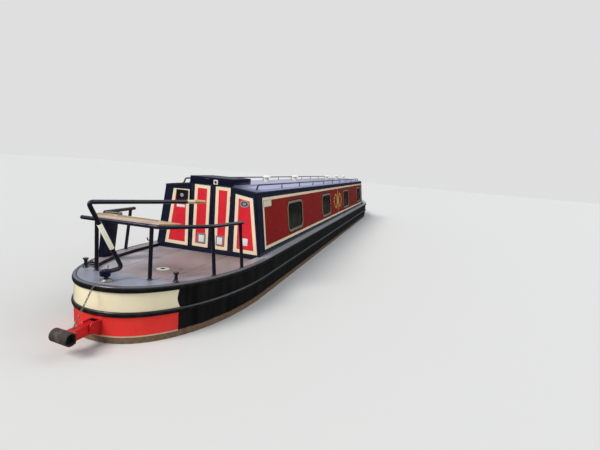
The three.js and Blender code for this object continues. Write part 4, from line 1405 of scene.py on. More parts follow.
@dataclass
class RearEnd:
    """The cabin's rear bulkhead with its doors, plates and trims."""

    door_face: float = 0.004
    vent_rect: Rect = (-0.587, -0.375, 1.953, 2.127)
    vent_border: float = 0.016
    slats: int = 7
    plaque: Point = (0.604, 2.004)
    hinge_x: tuple[float, float] = (-0.338, 0.364)
    hinge_heights: tuple[float, ...] = (1.42, 1.74, 2.06)

    def panels(self) -> dict[str, CoachPanel]:
        """Returns the four panels by name, from port to starboard."""
        rows = [
            ("bulkhead_port", 0.054,
             ((-0.765, 1.236), (-0.347, 1.228), (-0.353, 2.146), (-0.640, 2.138))),
            ("door_port", 0.052,
             ((-0.268, 1.240), (0.010, 1.236), (0.008, 2.232), (-0.262, 2.238))),
            ("door_starboard", 0.052,
             ((0.120, 1.232), (0.355, 1.232), (0.358, 2.230), (0.104, 2.234))),
            ("bulkhead_starboard", 0.055,
             ((0.461, 1.233), (0.868, 1.226), (0.737, 2.102), (0.447, 2.148))),
        ]
        return {
            name: CoachPanel(name, outline, border, f"aft_{name}", self.door_face)
            if name.startswith("door") else CoachPanel(name, outline, border)
            for name, border, outline in rows
        }

    def build(self) -> None:
        """Makes the rear end's pieces."""
        dress("cabin", "rear_bulkhead")
        for side in Side:
            soften(f"rear_door_{side.word}", "cabin", 0.004, f"aft_door_{side.word}", 3)
        panels = self.panels()
        for panel in panels.values():
            panel.build()
        self.plates(panels)
        self.vent(panels["bulkhead_port"].place)
        self.emblem(panels["bulkhead_starboard"].place)
        self.hinges()
        self.corners()

    def plates(self, panels: dict[str, CoachPanel]) -> None:
        """Makes the four blank plates."""
        rows = [
            ("door_port", (-0.180, -0.031, 1.293, 1.459), "rim_grey", 0.028),
            ("door_starboard", (0.150, 0.284, 1.296, 1.452), "rim_grey", 0.022),
            ("bulkhead_starboard", (0.589, 0.696, 1.352, 1.465), "plate", 0.014),
            ("bulkhead_port", (-0.572, -0.423, 1.845, 1.887), "plate", 0.012),
        ]
        for panel, rect, rim, width in rows:
            name = panel.replace("_", "_plate_")
            place, body = panels[panel].place, panels[panel].body
            Shape().plate(rounded_rect(rect, 0.004), 0.004, place, edge=0.001).finish(
                f"{name}_rim", rim, body
            )
            face = rounded_rect(rect, 0.003, width)
            Shape().plate(face, 0.0022, place, base=0.003, edge=0.0006).finish(name, "plate", body)

    def vent(self, place: Place) -> None:
        """Makes the dark louvred vent on the port panel."""
        (u0, u1, v0, v1), border = self.vent_rect, self.vent_border
        outer = rounded_rect(self.vent_rect, 0.012)
        hole = rounded_rect(self.vent_rect, 0.006, border)
        shape = Shape().plate(outer, 0.010, place, [hole], edge=0.002)
        shape.plate(outer, 0.0018, place)
        pitch = (v1 - v0 - 2 * border) / self.slats
        left, right = u0 + 0.012, u1 - 0.012
        for k in range(self.slats):
            v = v0 + border + pitch * k
            foot, head = v + 0.002, v + pitch * 0.6
            shape.plate([(left, foot), (right, foot), (right, head), (left, head)], 0.006, place)
        shape.finish("bulkhead_vent", "seal", slot="navy_paint")
        boss = [(0, 0), (0.03, 0), (0.03, 0.008), (0.022, 0.012), (0, 0.012)]
        middle = place((u0 + u1) / 2, (v0 + v1) / 2, 0.004)
        Shape().turned(boss, middle, (0, -1, 0), 28).finish("bulkhead_vent_boss", "grey")

    def emblem(self, place: Place) -> None:
        """Makes the blank oval plaque on the starboard panel: a rim, a dark field and a boss."""
        rows = [
            ("rim", "grey", (0.150, 0.112), 0.008, 0.0, 0.002, [oval(*self.plaque, 0.116, 0.080)]),
            ("field", "dark_grey", (0.124, 0.088), 0.004, 0.0, 0.001, []),
            ("boss", "grey", (0.058, 0.038), 0.004, 0.003, 0.0015, []),
        ]
        for part, finish, size, thickness, base, edge, holes in rows:
            outer = oval(*self.plaque, *size)
            Shape().plate(outer, thickness, place, holes, base, edge).finish(
                f"plaque_{part}", finish
            )

    def hinges(self) -> None:
        """Makes the doors' hinges."""
        for side, x in zip(Side, self.hinge_x):
            shape = Shape()
            for z in self.hinge_heights:
                shape.tube([(x, -0.004, z - 0.045), (x, -0.004, z + 0.045)], 0.006, 14)
            shape.finish(f"door_hinges_{side.word}", "navy", f"aft_door_{side.word}")

    def corners(self) -> None:
        """Makes the rounded corners between the bulkheads and the sides."""
        heights = (DECK + 0.002, 1.6, SIDE_TOP - 0.002)
        for side in Side:
            for name, y in (("aft", 0.008), ("fore", CABIN_LENGTH - 0.008)):
                feet = [(side.value * (cabin_half(z) - 0.008), y, z) for z in heights]
                Shape().tube(feet, 0.014, 16).finish(f"corner_{name}_{side.word}", "navy")


@dataclass
class Roof:
    """The roof with its hatch, handrails, vents and lamp."""

    rail_x: float = 0.660
    rail_height: float = 0.076
    rail_radius: float = 0.014
    rail_ends: tuple[float, float] = (0.330, 12.270)
    post_first: float = 1.650
    post_pitch: float = 1.250
    post_count: int = 9
    vents: tuple[float, ...] = (2.600, 4.800, 8.900, 10.800)
    lamp: Point = (0.102, 2.297)
    lamp_half: float = 0.036

    def build(self) -> None:
        """Makes the roof's pieces."""
        Shape.of_node("roof").bevel(0.006, 2, 40).finish("roof_form", "roof", smooth=30)
        soften("slide_hatch", "navy", 0.006, "hatch", 3)
        self.hatch_lamp()
        for side in Side:
            self.handrail(side)
        for i, y in enumerate(self.vents):
            self.vent(i + 1, y)
        self.headlamp()

    def hatch_lamp(self) -> None:
        """Makes the small square lamp on the hatch's aft face, and the hatch's handle."""
        place = lambda u, v, w: Vector((u, -w, v))
        (u, v), half = self.lamp, self.lamp_half
        base = rounded_rect((u - half, u + half, v - half, v + half), 0.008)
        Shape().plate(base, 0.014, place, edge=0.003).finish("hatch_lamp_base", "white", "hatch")
        lens = [(0, 0), (0.021, 0), (0.02, 0.006), (0.012, 0.011), (0, 0.013)]
        Shape().turned(lens, (u, -0.013, v), (0, -1, 0), 24).finish(
            "hatch_lamp_lens", "seal", "hatch", slot="window_glass"
        )
        plan = [(-0.08, -0.004), (-0.08, -0.034), (0.0, -0.034), (0.0, -0.004)]
        grip = [(x, y, 2.34) for x, y in plan]
        Shape().tube(rounded_route(grip, 0.016, 6), 0.005, 12).finish(
            "hatch_handle", "rail", "hatch"
        )

    def handrail(self, side: Side) -> None:
        """Makes one handrail with its posts and their feet."""
        x = side.value * self.rail_x
        foot, top = roof_top(self.rail_x) - 0.004, roof_top(self.rail_x) + self.rail_height
        start, end = self.rail_ends
        route = [(x, start, foot), (x, start + 0.06, top), (x, end - 0.06, top), (x, end, foot)]
        shape = Shape().tube(rounded_route(route, 0.035, 6), self.rail_radius, 14)
        places = [self.post_first + self.post_pitch * k for k in range(self.post_count)]
        for y in places:
            shape.tube([(x, y, foot), (x, y, top)], 0.008, 12)
        pad = [(0, 0), (0.022, 0), (0.022, 0.008), (0.012, 0.014), (0, 0.014)]
        for y in (start, *places, end):
            shape.turned(pad, (x, y, foot), steps=16)
        shape.finish(f"handrail_{side.word}_form", "rail")

    def vent(self, number: int, y: float) -> None:
        """Makes one mushroom vent."""
        stem = [(0, 0), (0.062, 0), (0.062, 0.008), (0.056, 0.013), (0.044, 0.016),
                (0.043, 0.094), (0, 0.094)]
        cap = [(0, 0.083), (0.086, 0.083), (0.092, 0.089), (0.091, 0.098), (0.078, 0.113),
               (0.055, 0.125), (0.028, 0.133), (0, 0.135)]
        foot = (0, y, ROOF_CROWN)
        Shape().turned(stem, foot, steps=40).turned(cap, foot, steps=48).finish(
            f"roof_vent_{number}_form", "white"
        )

    def headlamp(self) -> None:
        """Makes the lamp at the roof's fore end."""
        centre = (0, CABIN_LENGTH - 0.210, ROOF_CROWN + 0.072)
        low = (-0.018, CABIN_LENGTH - 0.190, ROOF_CROWN - 0.001)
        high = (0.018, CABIN_LENGTH - 0.150, ROOF_CROWN + 0.05)
        shell = [(0, 0), (0.013, 0.001), (0.032, 0.008), (0.047, 0.022), (0.055, 0.041),
                 (0.059, 0.066), (0.059, 0.079), (0.054, 0.08), (0.050, 0.070), (0, 0.070)]
        Shape().turned(shell, centre, (0, 1, 0), 48).block(low, high).finish(
            "headlamp_form", "white", slot="bright_steel"
        )
        lens = [(0, 0.073), (0.032, 0.0725), (0.0505, 0.071), (0.0505, 0.0695), (0, 0.0695)]
        Shape().turned(lens, centre, (0, 1, 0), 48).finish(
            "headlamp_lens", "plate", slot="window_glass"
        )


# Stern deck


@dataclass
class SternDeck:
    """The boards, plates, studs and fittings of the stern deck."""

    seams: tuple[float, float] = (-0.400, 0.385)
    gap: float = 0.008
    studs: tuple[tuple[str, float, float], ...] = (
        ("port", -0.605, -1.915),
        ("starboard", 0.620, -1.900),
    )
    bolt_circle: float = 0.058
    filler_at: Point = (0.064, -1.311)
    catch_rect: Rect = (0.235, 0.295, -1.215, -1.190)
    ring_at: Point = (-0.640, -1.768)
    ring_radius: float = 0.058

    def build(self) -> None:
        """Makes the deck's pieces."""
        dress("deck", "stern_deck")
        dress("engine", "engine")
        self.boards()
        self.gland()
        self.filler()
        for word, x, y in self.studs:
            self.stud(f"stern_stud_{word}", x, y, deck_height(y) + 0.001)
        self.ring()

    def boards(self) -> None:
        """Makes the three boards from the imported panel, with gaps between them."""
        shape, half = Shape(), self.gap / 2
        for low, high in ((-9.0, self.seams[0]), self.seams, (self.seams[1], 9.0)):
            board = Shape.of_node("deck_boards")
            board.slice((low + half, 0, 0), (-1, 0, 0)).slice((high - half, 0, 0), (1, 0, 0))
            shape.join(board.bevel(0.003, 2, 40).bm)
        shape.finish("deck_boards_form", "boards")

    def gland(self) -> None:
        """Makes the bolted gland where the rudder stock comes up."""
        z = deck_height(STOCK_Y)
        ring = [(0.030, 0.02), (0.030, 0.027), (0.044, 0.027), (0.048, 0.023), (0.05, 0.0195),
                (0.066, 0.0185), (0.069, 0.015), (0.069, -0.002), (0.03, -0.002), (0.03, 0.02)]
        Shape().turned(ring, (0, STOCK_Y, z), steps=48).finish("gland_ring", "steel")
        bolts = Shape()
        for c, s in circle(12)[1::2]:
            at = (self.bolt_circle * c, STOCK_Y + self.bolt_circle * s, z + 0.017)
            bolts.turned([(0, 0), (0.007, 0), (0.007, 0.006), (0, 0.007)], at, steps=6)
        bolts.finish("gland_bolts", "brass")

    def filler(self) -> None:
        """Makes the white deck filler with its dark cap, and the small brown catch beside it."""
        place = lambda u, v, w: Vector((u, v, BOARD_TOP - STERN_RISE * v + w))
        centre = place(*self.filler_at, 0.0)
        flange = [(0.030, 0.004), (0.052, 0.006), (0.078, 0.005), (0.086, 0.002), (0.086, -0.004),
                  (0.030, -0.004), (0.030, 0.004)]
        Shape().turned(flange, centre, steps=48).finish("deck_filler_flange", "white")
        cap = [(0, 0.005), (0.02, 0.0055), (0.029, 0.004), (0.0295, -0.002), (0, -0.002)]
        low, high = Vector((-0.018, -0.003, 0.004)), Vector((0.018, 0.003, 0.009))
        Shape().turned(cap, centre, steps=32).block(centre + low, centre + high).finish(
            "deck_filler_cap", "seal"
        )
        Shape().plate(rounded_rect(self.catch_rect, 0.012), 0.005, place, edge=0.002).finish(
            "board_catch", "chain"
        )

    def stud(self, node: str, x: float, y: float, z: float) -> None:
        """Makes one mooring stud."""
        profile = [(0, 0), (0.038, 0), (0.038, 0.004), (0.033, 0.007), (0.0255, 0.018),
                   (0.0205, 0.035), (0.0182, 0.055), (0.0185, 0.072), (0.0235, 0.088),
                   (0.031, 0.1), (0.0335, 0.106), (0.0325, 0.1115), (0.029, 0.1123), (0, 0.1123)]
        Shape().turned(profile, (x, y, z), steps=40).finish(
            f"{node}_form", "rail", slot="hull_black"
        )

    def ring(self) -> None:
        """Makes the black ring that lies in an eye on the deck, forward of the port stud."""
        x, y = self.ring_at
        z = deck_height(y) + 0.011
        turns = circle(36)
        loop = [(x + self.ring_radius * c, y + self.ring_radius * s, z)
                for c, s in (*turns, turns[0])]
        eye = [(x - 0.044 + 0.018 * c, y + 0.04, z - 0.004 + 0.024 * s)
               for c, s in circle(24)[:13]]
        Shape().tube(loop, 0.0095, 14).tube(eye, 0.006, 12).finish("deck_ring", "rail")


@dataclass
class Rails:
    """The guard rails, seat and quarter locker round the stern deck."""

    radius: float = 0.024
    post_radius: float = 0.023
    aft: float = -1.937
    bearers: tuple[float, float] = (-0.365, 0.250)
    bolt_rows: tuple[float, float] = (-1.84, -1.70)
    hook_at: tuple[float, float, float] = (0.316, -1.951, 1.690)

    def on_rail(self, x: float, y: float) -> Vector:
        """Returns a point of a rail's middle."""
        return Vector((x, y, RAIL_HEIGHT - RAIL_RISE * y))

    def rail(self, node: str, route: Outline, posts: Sequence[tuple], reach: float) -> None:
        """Makes one rail on its posts.

        Args:
            node: the CAD node that it stands for.
            route: the corners of the rail.
            posts: for each post, its foot and its head.
            reach: how far from each corner its bend starts.
        """
        corners = [self.on_rail(x, y) for x, y in route]
        flange = [(0, 0), (0.033, 0), (0.033, 0.004), (0.027, 0.008), (0.024, 0.013), (0, 0.013)]
        shape = Shape().tube(rounded_route(corners, reach, 10), self.radius, 24)
        for foot, head in posts:
            bottom = Vector((*foot, deck_height(foot[1])))
            shape.tube([bottom, self.on_rail(*head)], self.post_radius, 20)
            shape.turned(flange, bottom, steps=28)
        if node == "stern_rail":
            z = self.on_rail(0, self.aft).z
            for x in self.bearers:
                shape.block((x - 0.02, -1.925, z - 0.012), (x + 0.02, -1.668, z + 0.002))
        shape.finish(f"{node}_form", "rail")

    def build(self) -> None:
        """Makes the rails and what they carry."""
        stern = [(-0.651, -1.935), (0.424, -1.940), (0.790, -1.400), (0.906, -0.742)]
        stern_posts = [
            ((-0.395, -1.975), (-0.436, -1.936)),
            ((0.340, -1.990), (0.309, -1.940)),
            ((0.846, -1.400), (0.790, -1.400)),
            ((0.958, -0.800), (0.897, -0.805)),
        ]
        port = [(-0.900, -0.630), (-0.825, -1.370), (-0.570, -1.335)]
        self.rail("stern_rail", stern, stern_posts, 0.090)
        self.rail("port_rail", port, [((-0.945, -0.750), (-0.890, -0.728))], 0.055)
        self.cap("aft", "rail", stern[0], stern_posts[0][1])
        self.cap("port", "steel", port[2], port[1])
        self.seat()
        soften("quarter_locker", "navy", 0.006, segments=3)
        self.hook()

    def cap(self, name: str, finish: str, end: Point, towards: Point) -> None:
        """Makes the cap on a rail's open end, worn bright on the port rail."""
        tip = self.on_rail(*end)
        way = (tip - self.on_rail(*towards)).normalized()
        disc = [(0, 0.001), (0.021, 0.001), (0.021, -0.004), (0, -0.004)]
        Shape().turned(disc, tip, way, 20).finish(f"rail_end_{name}", finish, slot="navy_paint")

    def seat(self) -> None:
        """Makes the seat board with its pale aft edge and its bolts."""
        Shape.of_node("seat_board").bevel(0.005, 3, 40).finish("seat_board_form", "varnish")
        low, top = (corner.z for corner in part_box("seat_board"))
        place = lambda u, v, w: Vector((u, v, top + w))
        strip = [(-0.522, -1.8993), (0.366, -1.8815), (0.376, -1.870), (-0.528, -1.888)]
        side = lambda u, v, w: Vector((u, -1.900 + 0.02 * (u + 0.530) - w, v))
        foot, head = low + 0.012, top - 0.003
        face = [(-0.522, foot), (0.364, foot), (0.364, head), (-0.522, head)]
        Shape().plate(strip, 0.0012, place, base=SUNK).plate(face, 0.0014, side, base=SUNK).finish(
            "seat_edge", "pink_edge"
        )
        bolts, dome = Shape(), [(0, 0), (0.011, 0), (0.009, 0.004), (0, 0.005)]
        for x in self.bearers:
            for y in self.bolt_rows:
                bolts.turned(dome, (x, y, top), steps=16)
        bolts.finish("seat_bolts", "brass")

    def hook(self) -> None:
        """Makes the small hook on the inner stern post."""
        x, y, z = self.hook_at
        route = rounded_route([(x, y, z), (x - 0.050, y, z), (x - 0.052, y, z + 0.024)], 0.012, 6)
        Shape().tube(route, 0.007, 12, ball=True).finish("rail_hook", "rail")


# Steering and drive


@dataclass
class Helm:
    """The tiller, its collar and grip, and the rudder, all in the tiller's own plane."""

    body: str = "steering"
    radius: float = 0.024
    route: tuple[tuple[float, float], ...] = (
        (0.0, 1.350), (0.185, 1.368), (-0.212, 2.122), (1.170, 2.091),
    )
    sleeve: tuple[float, float] = (0.312, 0.685)

    def turned_over(self) -> Matrix:
        """Returns the matrix that puts the helm's own plane in the boat."""
        return Matrix.Translation((0, STOCK_Y, 0)) @ Matrix.Rotation(HELM_ANGLE, 4, "Z")

    def along(self, start: int, share: float) -> Vector:
        """Returns a point on one straight run of the tiller's route."""
        (s0, z0), (s1, z1) = self.route[start], self.route[start + 1]
        return Vector((0, s0 + share * (s1 - s0), z0 + share * (z1 - z0)))

    def build(self) -> None:
        """Makes the helm's pieces."""
        turn = self.turned_over()
        bar = rounded_route([(0, s, z) for s, z in self.route], 0.062, 12)
        Shape().tube(bar, self.radius, 28).move(turn).finish("tiller_form", "rail", self.body)
        sleeve = [self.along(1, share) for share in self.sleeve]
        Shape().tube(sleeve, self.radius + 0.0025, 28).bevel(0.001, 2).move(turn).finish(
            "tiller_sleeve", "sleeve", self.body
        )
        self.collar(turn)
        self.grip(turn)
        Shape.of_node("rudder").bevel(0.002, 2, 50).finish("rudder_form", "bottom", self.body)

    def collar(self, turn: Matrix) -> None:
        """Makes the clamp on the stock, with its bolts and pin."""
        clamp = [(0.0225, 1.303), (0.040, 1.303), (0.045, 1.310), (0.046, 1.330), (0.042, 1.338),
                 (0.042, 1.346), (0.046, 1.353), (0.045, 1.368), (0.038, 1.377), (0, 1.378),
                 (0, 1.32), (0.0225, 1.319), (0.0225, 1.303)]
        shape = Shape().turned(clamp, (0, 0, 0), steps=40)
        shape.block((-0.026, -0.064, 1.310), (0.026, -0.036, 1.366)).bevel(0.002, 2, 50)
        bolt = [(0, 0), (0.008, 0), (0.008, 0.008), (0, 0.009)]
        for z in (1.322, 1.352):
            for way in (1, -1):
                shape.turned(bolt, (way * 0.026, -0.052, z), (way, 0, 0), 6)
        shape.move(turn).finish("tiller_collar", "navy", self.body)
        pin = [(0, 0), (0.0045, 0), (0.0045, 0.046), (0.007, 0.048), (0.007, 0.056), (0, 0.058)]
        Shape().turned(pin, (0.033, 0.0, 1.375), steps=16).move(turn).finish(
            "collar_pin", "pin", self.body
        )

    def grip(self, turn: Matrix) -> None:
        """Makes the brass ferrule and the turned grip."""
        end = self.along(2, 1.0)
        way = (end - self.along(2, 0.0)).normalized()
        ferrule = [(0, -0.118), (0.0245, -0.118), (0.0262, -0.114), (0.0262, -0.004),
                   (0.024, 0.003), (0, 0.003)]
        Shape().turned(ferrule, end, way, 32).move(turn).finish(
            "tiller_ferrule", "ferrule", self.body
        )
        wood = [(0, 0.0), (0.021, 0.001), (0.0195, 0.012), (0.0235, 0.030), (0.0275, 0.055),
                (0.0275, 0.080), (0.0245, 0.110), (0.022, 0.140), (0.0225, 0.165),
                (0.0215, 0.178), (0.017, 0.187), (0.01, 0.1905), (0, 0.191)]
        Shape().turned(wood, end, way, 32).move(turn).finish("tiller_grip_form", "grip", self.body)


@dataclass
class Propeller:
    """The three-bladed propeller on its shaft."""

    y: float = -1.850
    z: float = 0.300
    radius: float = 0.220

    def build(self) -> None:
        """Makes the propeller."""
        hub = [(0, -0.070), (0.014, -0.069), (0.027, -0.058), (0.038, -0.035), (0.042, -0.01),
               (0.042, 0.045), (0.036, 0.058), (0, 0.06)]
        shape = Shape().turned(hub, (0, 0, 0), (0, 1, 0), 40)
        shape.tube([(0, 0, 0), (0, 0.122, 0)], 0.018, 24)
        for k in range(3):
            shape.join(self.blade().bm, Matrix.Rotation(2 * math.pi * k / 3, 4, "Y"))
        shape.move(Matrix.Translation((0, self.y, self.z))).finish(
            "propeller_form", "bronze", "screw"
        )

    def blade(self) -> Shape:
        """Returns one blade, twisted along its length."""
        rings = []
        for k in range(13):
            share = k / 12
            up = Vector((0, 0, 0.02 + (self.radius - 0.02) * share))
            chord = 0.084 * math.sin(math.pi * min(1.0, 0.16 + 0.82 * share)) ** 0.7
            thick = 0.008 * (1 - 0.75 * share)
            twist = Matrix.Rotation(0.9 - 0.42 * share, 3, "Z")
            rings.append([twist @ Vector((chord * c, thick * s, 0)) + up for c, s in circle(20)])
        return Shape().loft(rings)


# Fenders


@dataclass
class SternFender:
    """The red box arm on its bracket, the rubber roll and the chain that holds it up."""

    z: float = 0.808
    arm_end: float = -2.800
    bracket_half: float = 0.062
    roll_radius: float = 0.068
    roll_ends: tuple[float, float] = (-0.128, 0.114)
    roll_edge: float = 0.006
    pivot_x: float = 0.05
    yaw: float = -0.157
    # Where the dark discs of painted shade sit across the roll's hollow.
    plugs: tuple[float, float] = (-0.075, 0.062)
    wire: float = 0.0034
    link: float = 0.034

    def build(self) -> None:
        """Makes the fender's pieces."""
        soften("fender_bracket", "fender_red", 0.0025, segments=2, angle=50)
        soften("fender_arm", "fender_red", 0.004, segments=3, angle=50)
        self.bolts()
        self.roll()
        top = Vector((0, COUNTER_FACE - 0.046, deck_height(COUNTER_FACE - 0.028) - 0.014))
        foot = Vector((0, self.arm_end + 0.065, self.z + 0.074))
        chain(top, foot, self.link, self.wire).finish("fender_chain_form", "chain")
        lug = [(0, 0), (0.013, 0), (0.013, 0.016), (0, 0.018)]
        eyes = Shape().turned(lug, (0, COUNTER_FACE - 0.016, top.z), (0, -1, 0), 18)
        eyes.turned(lug, foot - Vector((0, 0, 0.02)), steps=18).finish("chain_eyes", "chain")

    def bolts(self) -> None:
        """Makes the round heads of the bracket's bolt and fixings."""
        head = [(0, 0), (0.026, 0), (0.026, 0.007), (0.022, 0.013), (0, 0.016)]
        small = [(0, 0), (0.009, 0), (0.009, 0.007), (0, 0.008)]
        shape = Shape()
        for way in (-1, 1):
            x = way * self.bracket_half
            shape.turned(head, (x, COUNTER_FACE - 0.099, self.z), (way, 0, 0), 28)
            for z in (-0.055, 0.055):
                shape.turned(small, (x, COUNTER_FACE - 0.045, self.z + z), (way, 0, 0), 6)
        shape.finish("fender_bolts", "fender_red")

    def roll(self) -> None:
        """Makes the hollow rubber roll, cut flat against the arm, and the dark discs of painted
        shade inside it.
        """
        y, z = self.arm_end - 0.062, self.z + 0.014
        outer, inner = self.roll_radius, self.roll_radius * 0.82
        limit = self.arm_end - 0.0085
        (port, starboard), edge = self.roll_ends, self.roll_edge
        rows = [
            (port, outer - edge, limit),
            (port + edge, outer, limit),
            (starboard - edge, outer, limit),
            (starboard, outer - edge, limit),
            (starboard, inner + edge / 2, limit - 0.012),
            (starboard - edge, inner, limit - 0.012),
            (port + edge, inner, limit - 0.012),
            (port, inner + edge / 2, limit - 0.012),
        ]
        pivot = Vector((self.pivot_x, limit, 0.0))
        turn = Matrix.Rotation(self.yaw, 3, "Z")
        swung = lambda *point: pivot + turn @ (Vector(point) - pivot)
        rings = [
            [swung(x, min(flat, y + radius * c), z + radius * s) for c, s in circle(48)]
            for x, radius, flat in rows
        ]
        Shape().loft([*rings, rings[0]], looped=True).finish("fender_roll_form", "rubber")
        # Dark discs deep in the hollow: painted shade, not part of the real roll.
        plugs, disc = Shape(), [(0, 0), (inner + 0.002, 0), (inner + 0.002, 0.004), (0, 0.004)]
        for x in self.plugs:
            plugs.turned(disc, swung(x, y - 0.006, z), turn @ Vector((1, 0, 0)), 32)
        plugs.finish("fender_roll_plugs", "seal")


def chain(start: Vector, end: Vector, link: float, wire: float) -> Shape:
    """Returns a chain of long links between two points.

    Args:
        start: the first link's far end.
        end: the last link's far end.
        link: the pitch of the links.
        wire: the radius of their wire.

    Returns:
        The shape.
    """
    way = end - start
    count = max(1, round(way.length / link))
    turn = way.to_track_quat("X", "Z").to_matrix().to_4x4()
    across = wire * 2.3
    stretch = way.length / count / 2 + wire * 1.1 - across
    loop = [Vector((across * c + math.copysign(stretch, c), across * s, 0)) for c, s in circle(12)]
    rings = []
    for i, point in enumerate(loop):
        forward = (loop[(i + 1) % len(loop)] - loop[i - 1]).normalized()
        side = Vector((0, 0, 1)).cross(forward)
        rings.append([point + side * wire * c + Vector((0, 0, wire * s)) for c, s in circle(6)])
    shape = Shape()
    for k in range(count):
        roll = Matrix.Rotation(math.pi / 2 * (k % 2) + 0.3, 4, "X")
        centre = Matrix.Translation(start + way * ((k + 0.5) / count))
        part = Shape().loft([*rings, rings[0]], looped=True)
        shape.join(part.bm, centre @ turn @ roll)
    return shape


@dataclass
class Bow:
    """The well deck, front doors, foredeck locker and bow fender."""

    face: float = CABIN_LENGTH - 0.004
    border: float = 0.045
    stud_y: float = 15.150
    over_y: float = 15.940
    eye_y: float = 15.660
    eye_x: float = 0.045
    fender: Point = (15.885, 1.194)
    fender_size: tuple[float, float, float] = (0.108, 0.095, 0.150)
    rake: float = -0.485
    rope_pitch: float = 0.024
    link: float = 0.034
    wire: float = 0.0042

    def build(self) -> None:
        """Makes the bow's pieces."""
        dress("cabin", "front_bulkhead")
        for side in Side:
            soften(f"front_door_{side.word}", "cabin", 0.004, f"fore_door_{side.word}", 3)
        soften("bow_locker_lid", "deck", 0.004, "locker_lid", 3)
        self.panels()
        SternDeck().stud("bow_stud", 0.0, self.stud_y, deck_height(self.stud_y) + 0.0125)
        self.rope_fender()
        self.chains()

    def panels(self) -> None:
        """Makes the front doors' and bulkhead's panels, and the knob."""
        rows = [
            ("front", ROOT, CABIN_LENGTH,
             ((0.350, 1.236), (0.350, 2.11), (0.640, 2.10), (0.765, 1.236))),
            ("front_leaf", "fore_door_{}", self.face,
             ((0.032, 0.98), (0.032, 2.04), (0.262, 2.04), (0.262, 0.98))),
        ]
        for name, body, face, outline in rows:
            for side in Side:
                corners = tuple((side.value * u, v) for u, v in outline)[::-side.value]
                CoachPanel(f"{name}_{side.word}", corners, self.border, body.format(side.word),
                           face, 1).build()
        knob = [(0, 0), (0.009, 0), (0.008, 0.018), (0.018, 0.026), (0.02, 0.036), (0.012, 0.045),
                (0, 0.047)]
        Shape().turned(knob, (0.020, self.face, 1.55), (0, 1, 0), 24).finish(
            "front_door_knob", "brass", "fore_door_starboard"
        )

    def rope_fender(self) -> None:
        """Makes the rope fender against the stem."""
        part = bmesh.new()
        bmesh.ops.create_uvsphere(part, u_segments=48, v_segments=40, radius=1.0)
        bmesh.ops.scale(part, vec=self.fender_size, verts=part.verts[:])
        for vert in part.verts:
            girth = 0.985 + 0.015 * math.sin(vert.co.z * 2 * math.pi / self.rope_pitch)
            vert.co.x *= girth
            vert.co.y *= girth
        rake = Matrix.Rotation(self.rake, 4, "X")
        Shape().join(part, Matrix.Translation((0, *self.fender)) @ rake).finish(
            "bow_fender_form", "rope"
        )

    def chains(self) -> None:
        """Makes the two chains that carry the bow fender, and their eyes."""
        y, z = self.fender
        lug = [(0, 0), (0.013, 0), (0.013, 0.014), (0, 0.016)]
        shape = Shape()
        for side in Side:
            x = side.value * self.eye_x
            low = Vector((side.value * 0.025, y + 0.045, z + 0.11))
            over = Vector((x, self.over_y, deck_height(self.over_y) + 0.045))
            eye = Vector((x, self.eye_y, deck_height(self.eye_y) + 0.016))
            shape.join(chain(low, over, self.link, self.wire).bm)
            shape.join(chain(over, eye, self.link, self.wire).bm)
            shape.turned(lug, eye - Vector((0, 0, 0.014)), steps=16)
        shape.finish("bow_fender_chains", "chain")


# Studio


@dataclass(frozen=True)
class Camera:
    """The photograph's viewpoint."""

    place: tuple[float, float, float] = (3.1224, -6.0292, 2.6646)
    yaw: float = -0.26
    pitch: float = -0.1403
    roll: float = 0.0826
    focal_pixels: float = 419.875
    frame_pixels: float = 600.0
    sensor: float = 36.0

    def build(self) -> None:
        """Makes the scene's camera."""
        data = bpy.data.cameras.new("photo_camera")
        data.sensor_width = self.sensor
        data.lens = self.focal_pixels / self.frame_pixels * self.sensor
        data.clip_start, data.clip_end = 0.05, 200.0
        camera = bpy.data.objects.new("photo_camera", data)
        bpy.context.scene.collection.objects.link(camera)
        ahead = Vector((
            math.sin(self.yaw) * math.cos(self.pitch),
            math.cos(self.yaw) * math.cos(self.pitch),
            math.sin(self.pitch),
        ))
        right = Vector((math.cos(self.yaw), -math.sin(self.yaw), 0.0))
        up = right.cross(ahead)
        turned = right * math.cos(self.roll) + up * math.sin(self.roll)
        raised = up * math.cos(self.roll) - right * math.sin(self.roll)
        matrix = Matrix((turned, raised, -ahead)).transposed().to_4x4()
        matrix.translation = Vector(self.place)
        camera.matrix_world = matrix
        bpy.context.scene.camera = camera


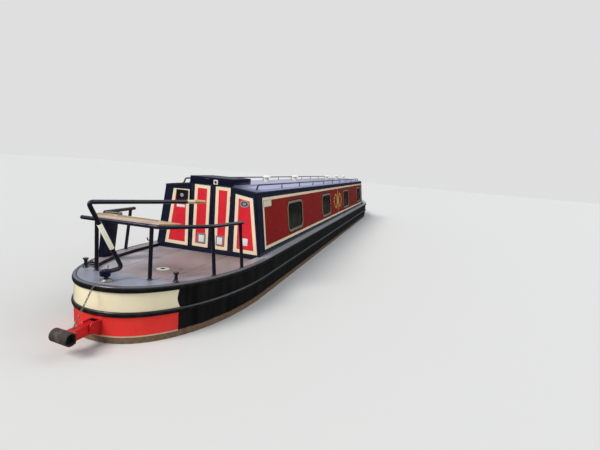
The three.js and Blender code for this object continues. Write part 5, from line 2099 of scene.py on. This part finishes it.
@dataclass
class Studio:
    """The pale floor at the waterline and soft light from astern."""

    floor_half: float = 60.0
    even: Colour = (0.47, 0.49, 0.52)
    backdrop: Colour = (0.74, 0.74, 0.74)

    def build(self) -> None:
        """Makes the floor, the sky and the lamps."""
        shape = bmesh.new()
        bmesh.ops.create_grid(shape, x_segments=1, y_segments=1, size=self.floor_half)
        bmesh.ops.translate(shape, vec=(0, 7, WATERLINE), verts=shape.verts[:])
        mesh = bpy.data.meshes.new("floor")
        shape.to_mesh(mesh)
        shape.free()
        mesh.materials.append(FloorFinish("pale_floor").make())
        floor = bpy.data.objects.new("floor", mesh)
        bpy.context.scene.collection.objects.link(floor)
        floor.visible_glossy = False
        world = bpy.data.worlds.new("studio")
        world.use_nodes = True
        Sky(world, self.even, self.backdrop)
        bpy.context.scene.world = world
        self.sun("key_light", (-0.50, -0.80, 0.95), 2.7, 28.0, (1.0, 0.98, 0.94))
        self.sun("fill_light", (0.8, 0.6, 0.7), 0.9, 60.0, (0.94, 0.97, 1.0))
        bpy.context.scene.view_settings.view_transform = "Standard"

    def sun(
        self, name: str, source: Sequence[float], strength: float, spread: float, colour: Colour
    ) -> None:
        """Adds one broad sun.

        Args:
            name: the lamp's name.
            source: the direction that the light comes from.
            strength: its strength.
            spread: its angle in degrees.
            colour: its colour.
        """
        lamp = bpy.data.lights.new(name, "SUN")
        lamp.energy = strength
        lamp.angle = math.radians(spread)
        lamp.color = colour
        thing = bpy.data.objects.new(name, lamp)
        thing.rotation_mode = "QUATERNION"
        thing.rotation_quaternion = Vector(source).to_track_quat("Z", "Y")
        bpy.context.scene.collection.objects.link(thing)


def main() -> None:
    """Builds the studio and every sub-assembly in order."""
    logging.basicConfig(level=logging.INFO, format="%(name)s: %(message)s")
    Camera().build()
    Studio().build()
    Hull().build()
    for side in Side:
        CabinSide(side).build()
    RearEnd().build()
    Roof().build()
    SternDeck().build()
    Rails().build()
    Helm().build()
    Propeller().build()
    SternFender().build()
    Bow().build()


if __name__ == "__main__":
    main()
